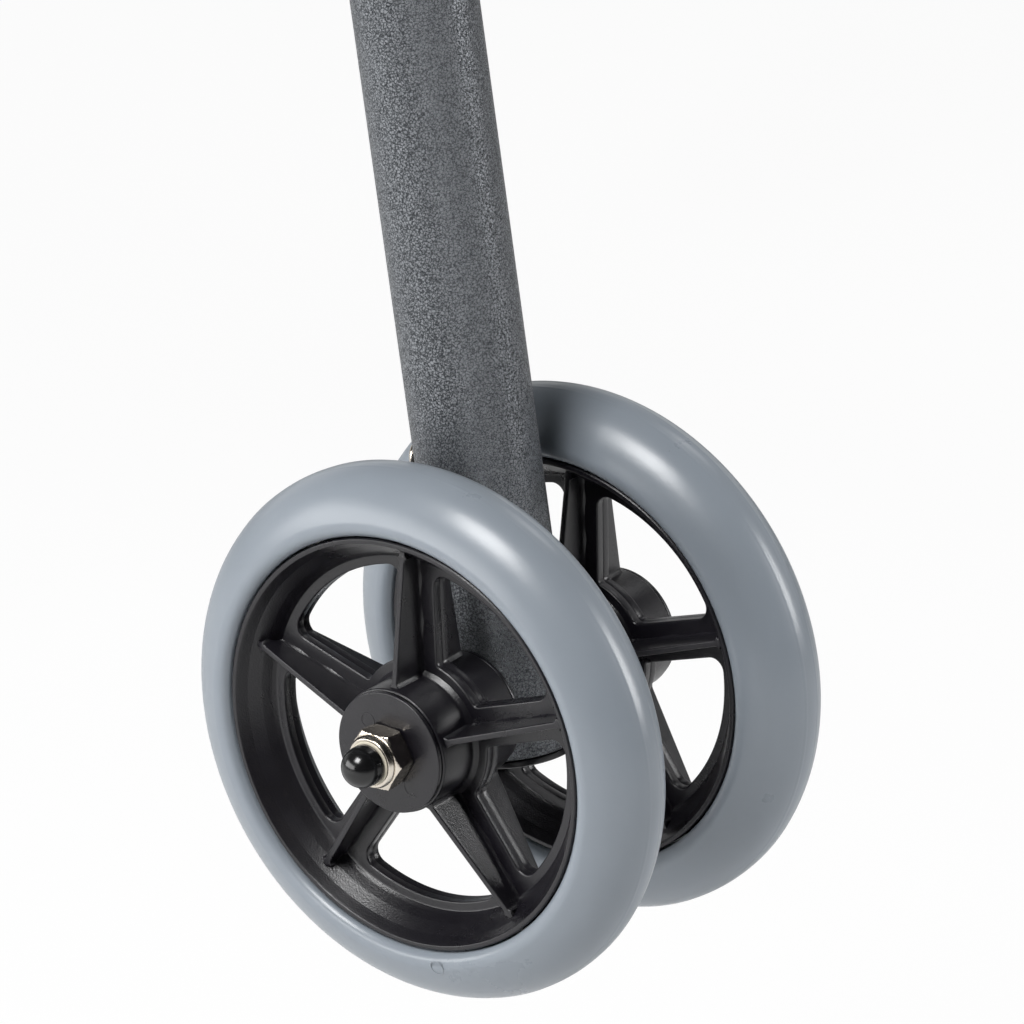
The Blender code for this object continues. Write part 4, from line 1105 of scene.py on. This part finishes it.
world = bpy.data.worlds.new("studio")
world.use_nodes = True
bpy.context.scene.world = world
sky = world.node_tree
ray = node(sky, "ShaderNodeLightPath")
seen = node(sky, "ShaderNodeBackground", Color=WHITE, Strength=1.0)
way_seen = node(sky, "ShaderNodeTexCoord").outputs["Generated"]
behind = node(sky, "ShaderNodeVectorMath", [(0, way_seen)], operation="DOT_PRODUCT")
behind.inputs[1].default_value = (-0.559, 0.731, 0.0)
parts = node(sky, "ShaderNodeSeparateXYZ", [(0, way_seen)])
from_behind = ranged(sky, behind.outputs["Value"], (-0.35, 0.75), (0.03, 0.90), "SMOOTHSTEP")
from_low = ranged(sky, parts.outputs["Z"], (0.10, 0.60), (1.0, 0.05), "SMOOTHSTEP")
strength = worked_out(sky, "MULTIPLY", from_behind, from_low)
fill = node(sky, "ShaderNodeBackground", [("Strength", strength)], Color=WHITE)
mix = node(sky, "ShaderNodeMixShader",
           [(0, ray.outputs["Is Camera Ray"]), (1, fill.outputs[0]), (2, seen.outputs[0])])
sky.links.new(mix.outputs[0], sky.nodes["World Output"].inputs["Surface"])
bpy.context.scene.view_settings.view_transform = "Standard"

# %% Camera and lights
RIGHT = Vector((0.794, 0.607, 0.0)).normalized()
BACK = Vector((0.559, -0.731, 0.389)).normalized()
UP = BACK.cross(RIGHT)
DISTANCE, SHIFT_RIGHT, SHIFT_UP, LENS, SENSOR = 1.687, 0.0004, 0.040, 260.9, 36.0
target = Vector((AXLE_X, -HALF_TRACK, AXLE_Z))
camera = bpy.data.objects.new("camera", bpy.data.cameras.new("camera"))
bpy.context.scene.collection.objects.link(camera)
turn = Matrix((RIGHT, UP, BACK)).transposed()
place = target + BACK * DISTANCE + RIGHT * SHIFT_RIGHT + UP * SHIFT_UP
camera.matrix_world = Matrix.Translation(place) @ turn.to_4x4()
camera.data.lens, camera.data.sensor_width = LENS, SENSOR
camera.data.clip_start, camera.data.clip_end = 0.05, 100.0
bpy.context.scene.camera = camera
OVERHEAD, LEVEL_BACK = Vector((0, 0, 1)), Vector((BACK.x, BACK.y, 0)).normalized()


def soft_light(name, right, back, up, width, height, power):
    """A rectangle of light at a place given from the wheels, facing them."""
    lamp = bpy.data.lights.new(name, "AREA")
    lamp.shape, lamp.size, lamp.size_y, lamp.energy = "RECTANGLE", width, height, power
    light = bpy.data.objects.new(name, lamp)
    bpy.context.scene.collection.objects.link(light)
    light.location = target + RIGHT * right + LEVEL_BACK * back + OVERHEAD * up
    light.rotation_euler = (light.location - target).to_track_quat("Z", "Y").to_euler()


soft_light("key_light", -0.70, 0.75, 1.35, 0.66, 0.66, 29.0)
soft_light("left_softbox", -1.55, 0.45, 0.34, 1.8, 0.60, 19.0)
soft_light("right_softbox", 1.35, 0.15, 0.50, 0.34, 0.75, 12.0)
soft_light("back_softbox", 0.70, -1.00, 1.25, 0.5, 0.5, 2.5)
print("lights: 4")

# %% [markdown]
# ## Finish
# The scene is brought up to date, and the finer pieces and their faces are counted. The
# finer pieces must stay inside the imported model's box.

# %% Finish
bpy.context.view_layer.update()
print("pieces:", len(made), "faces:", sum(len(p.data.polygons) for p in made))
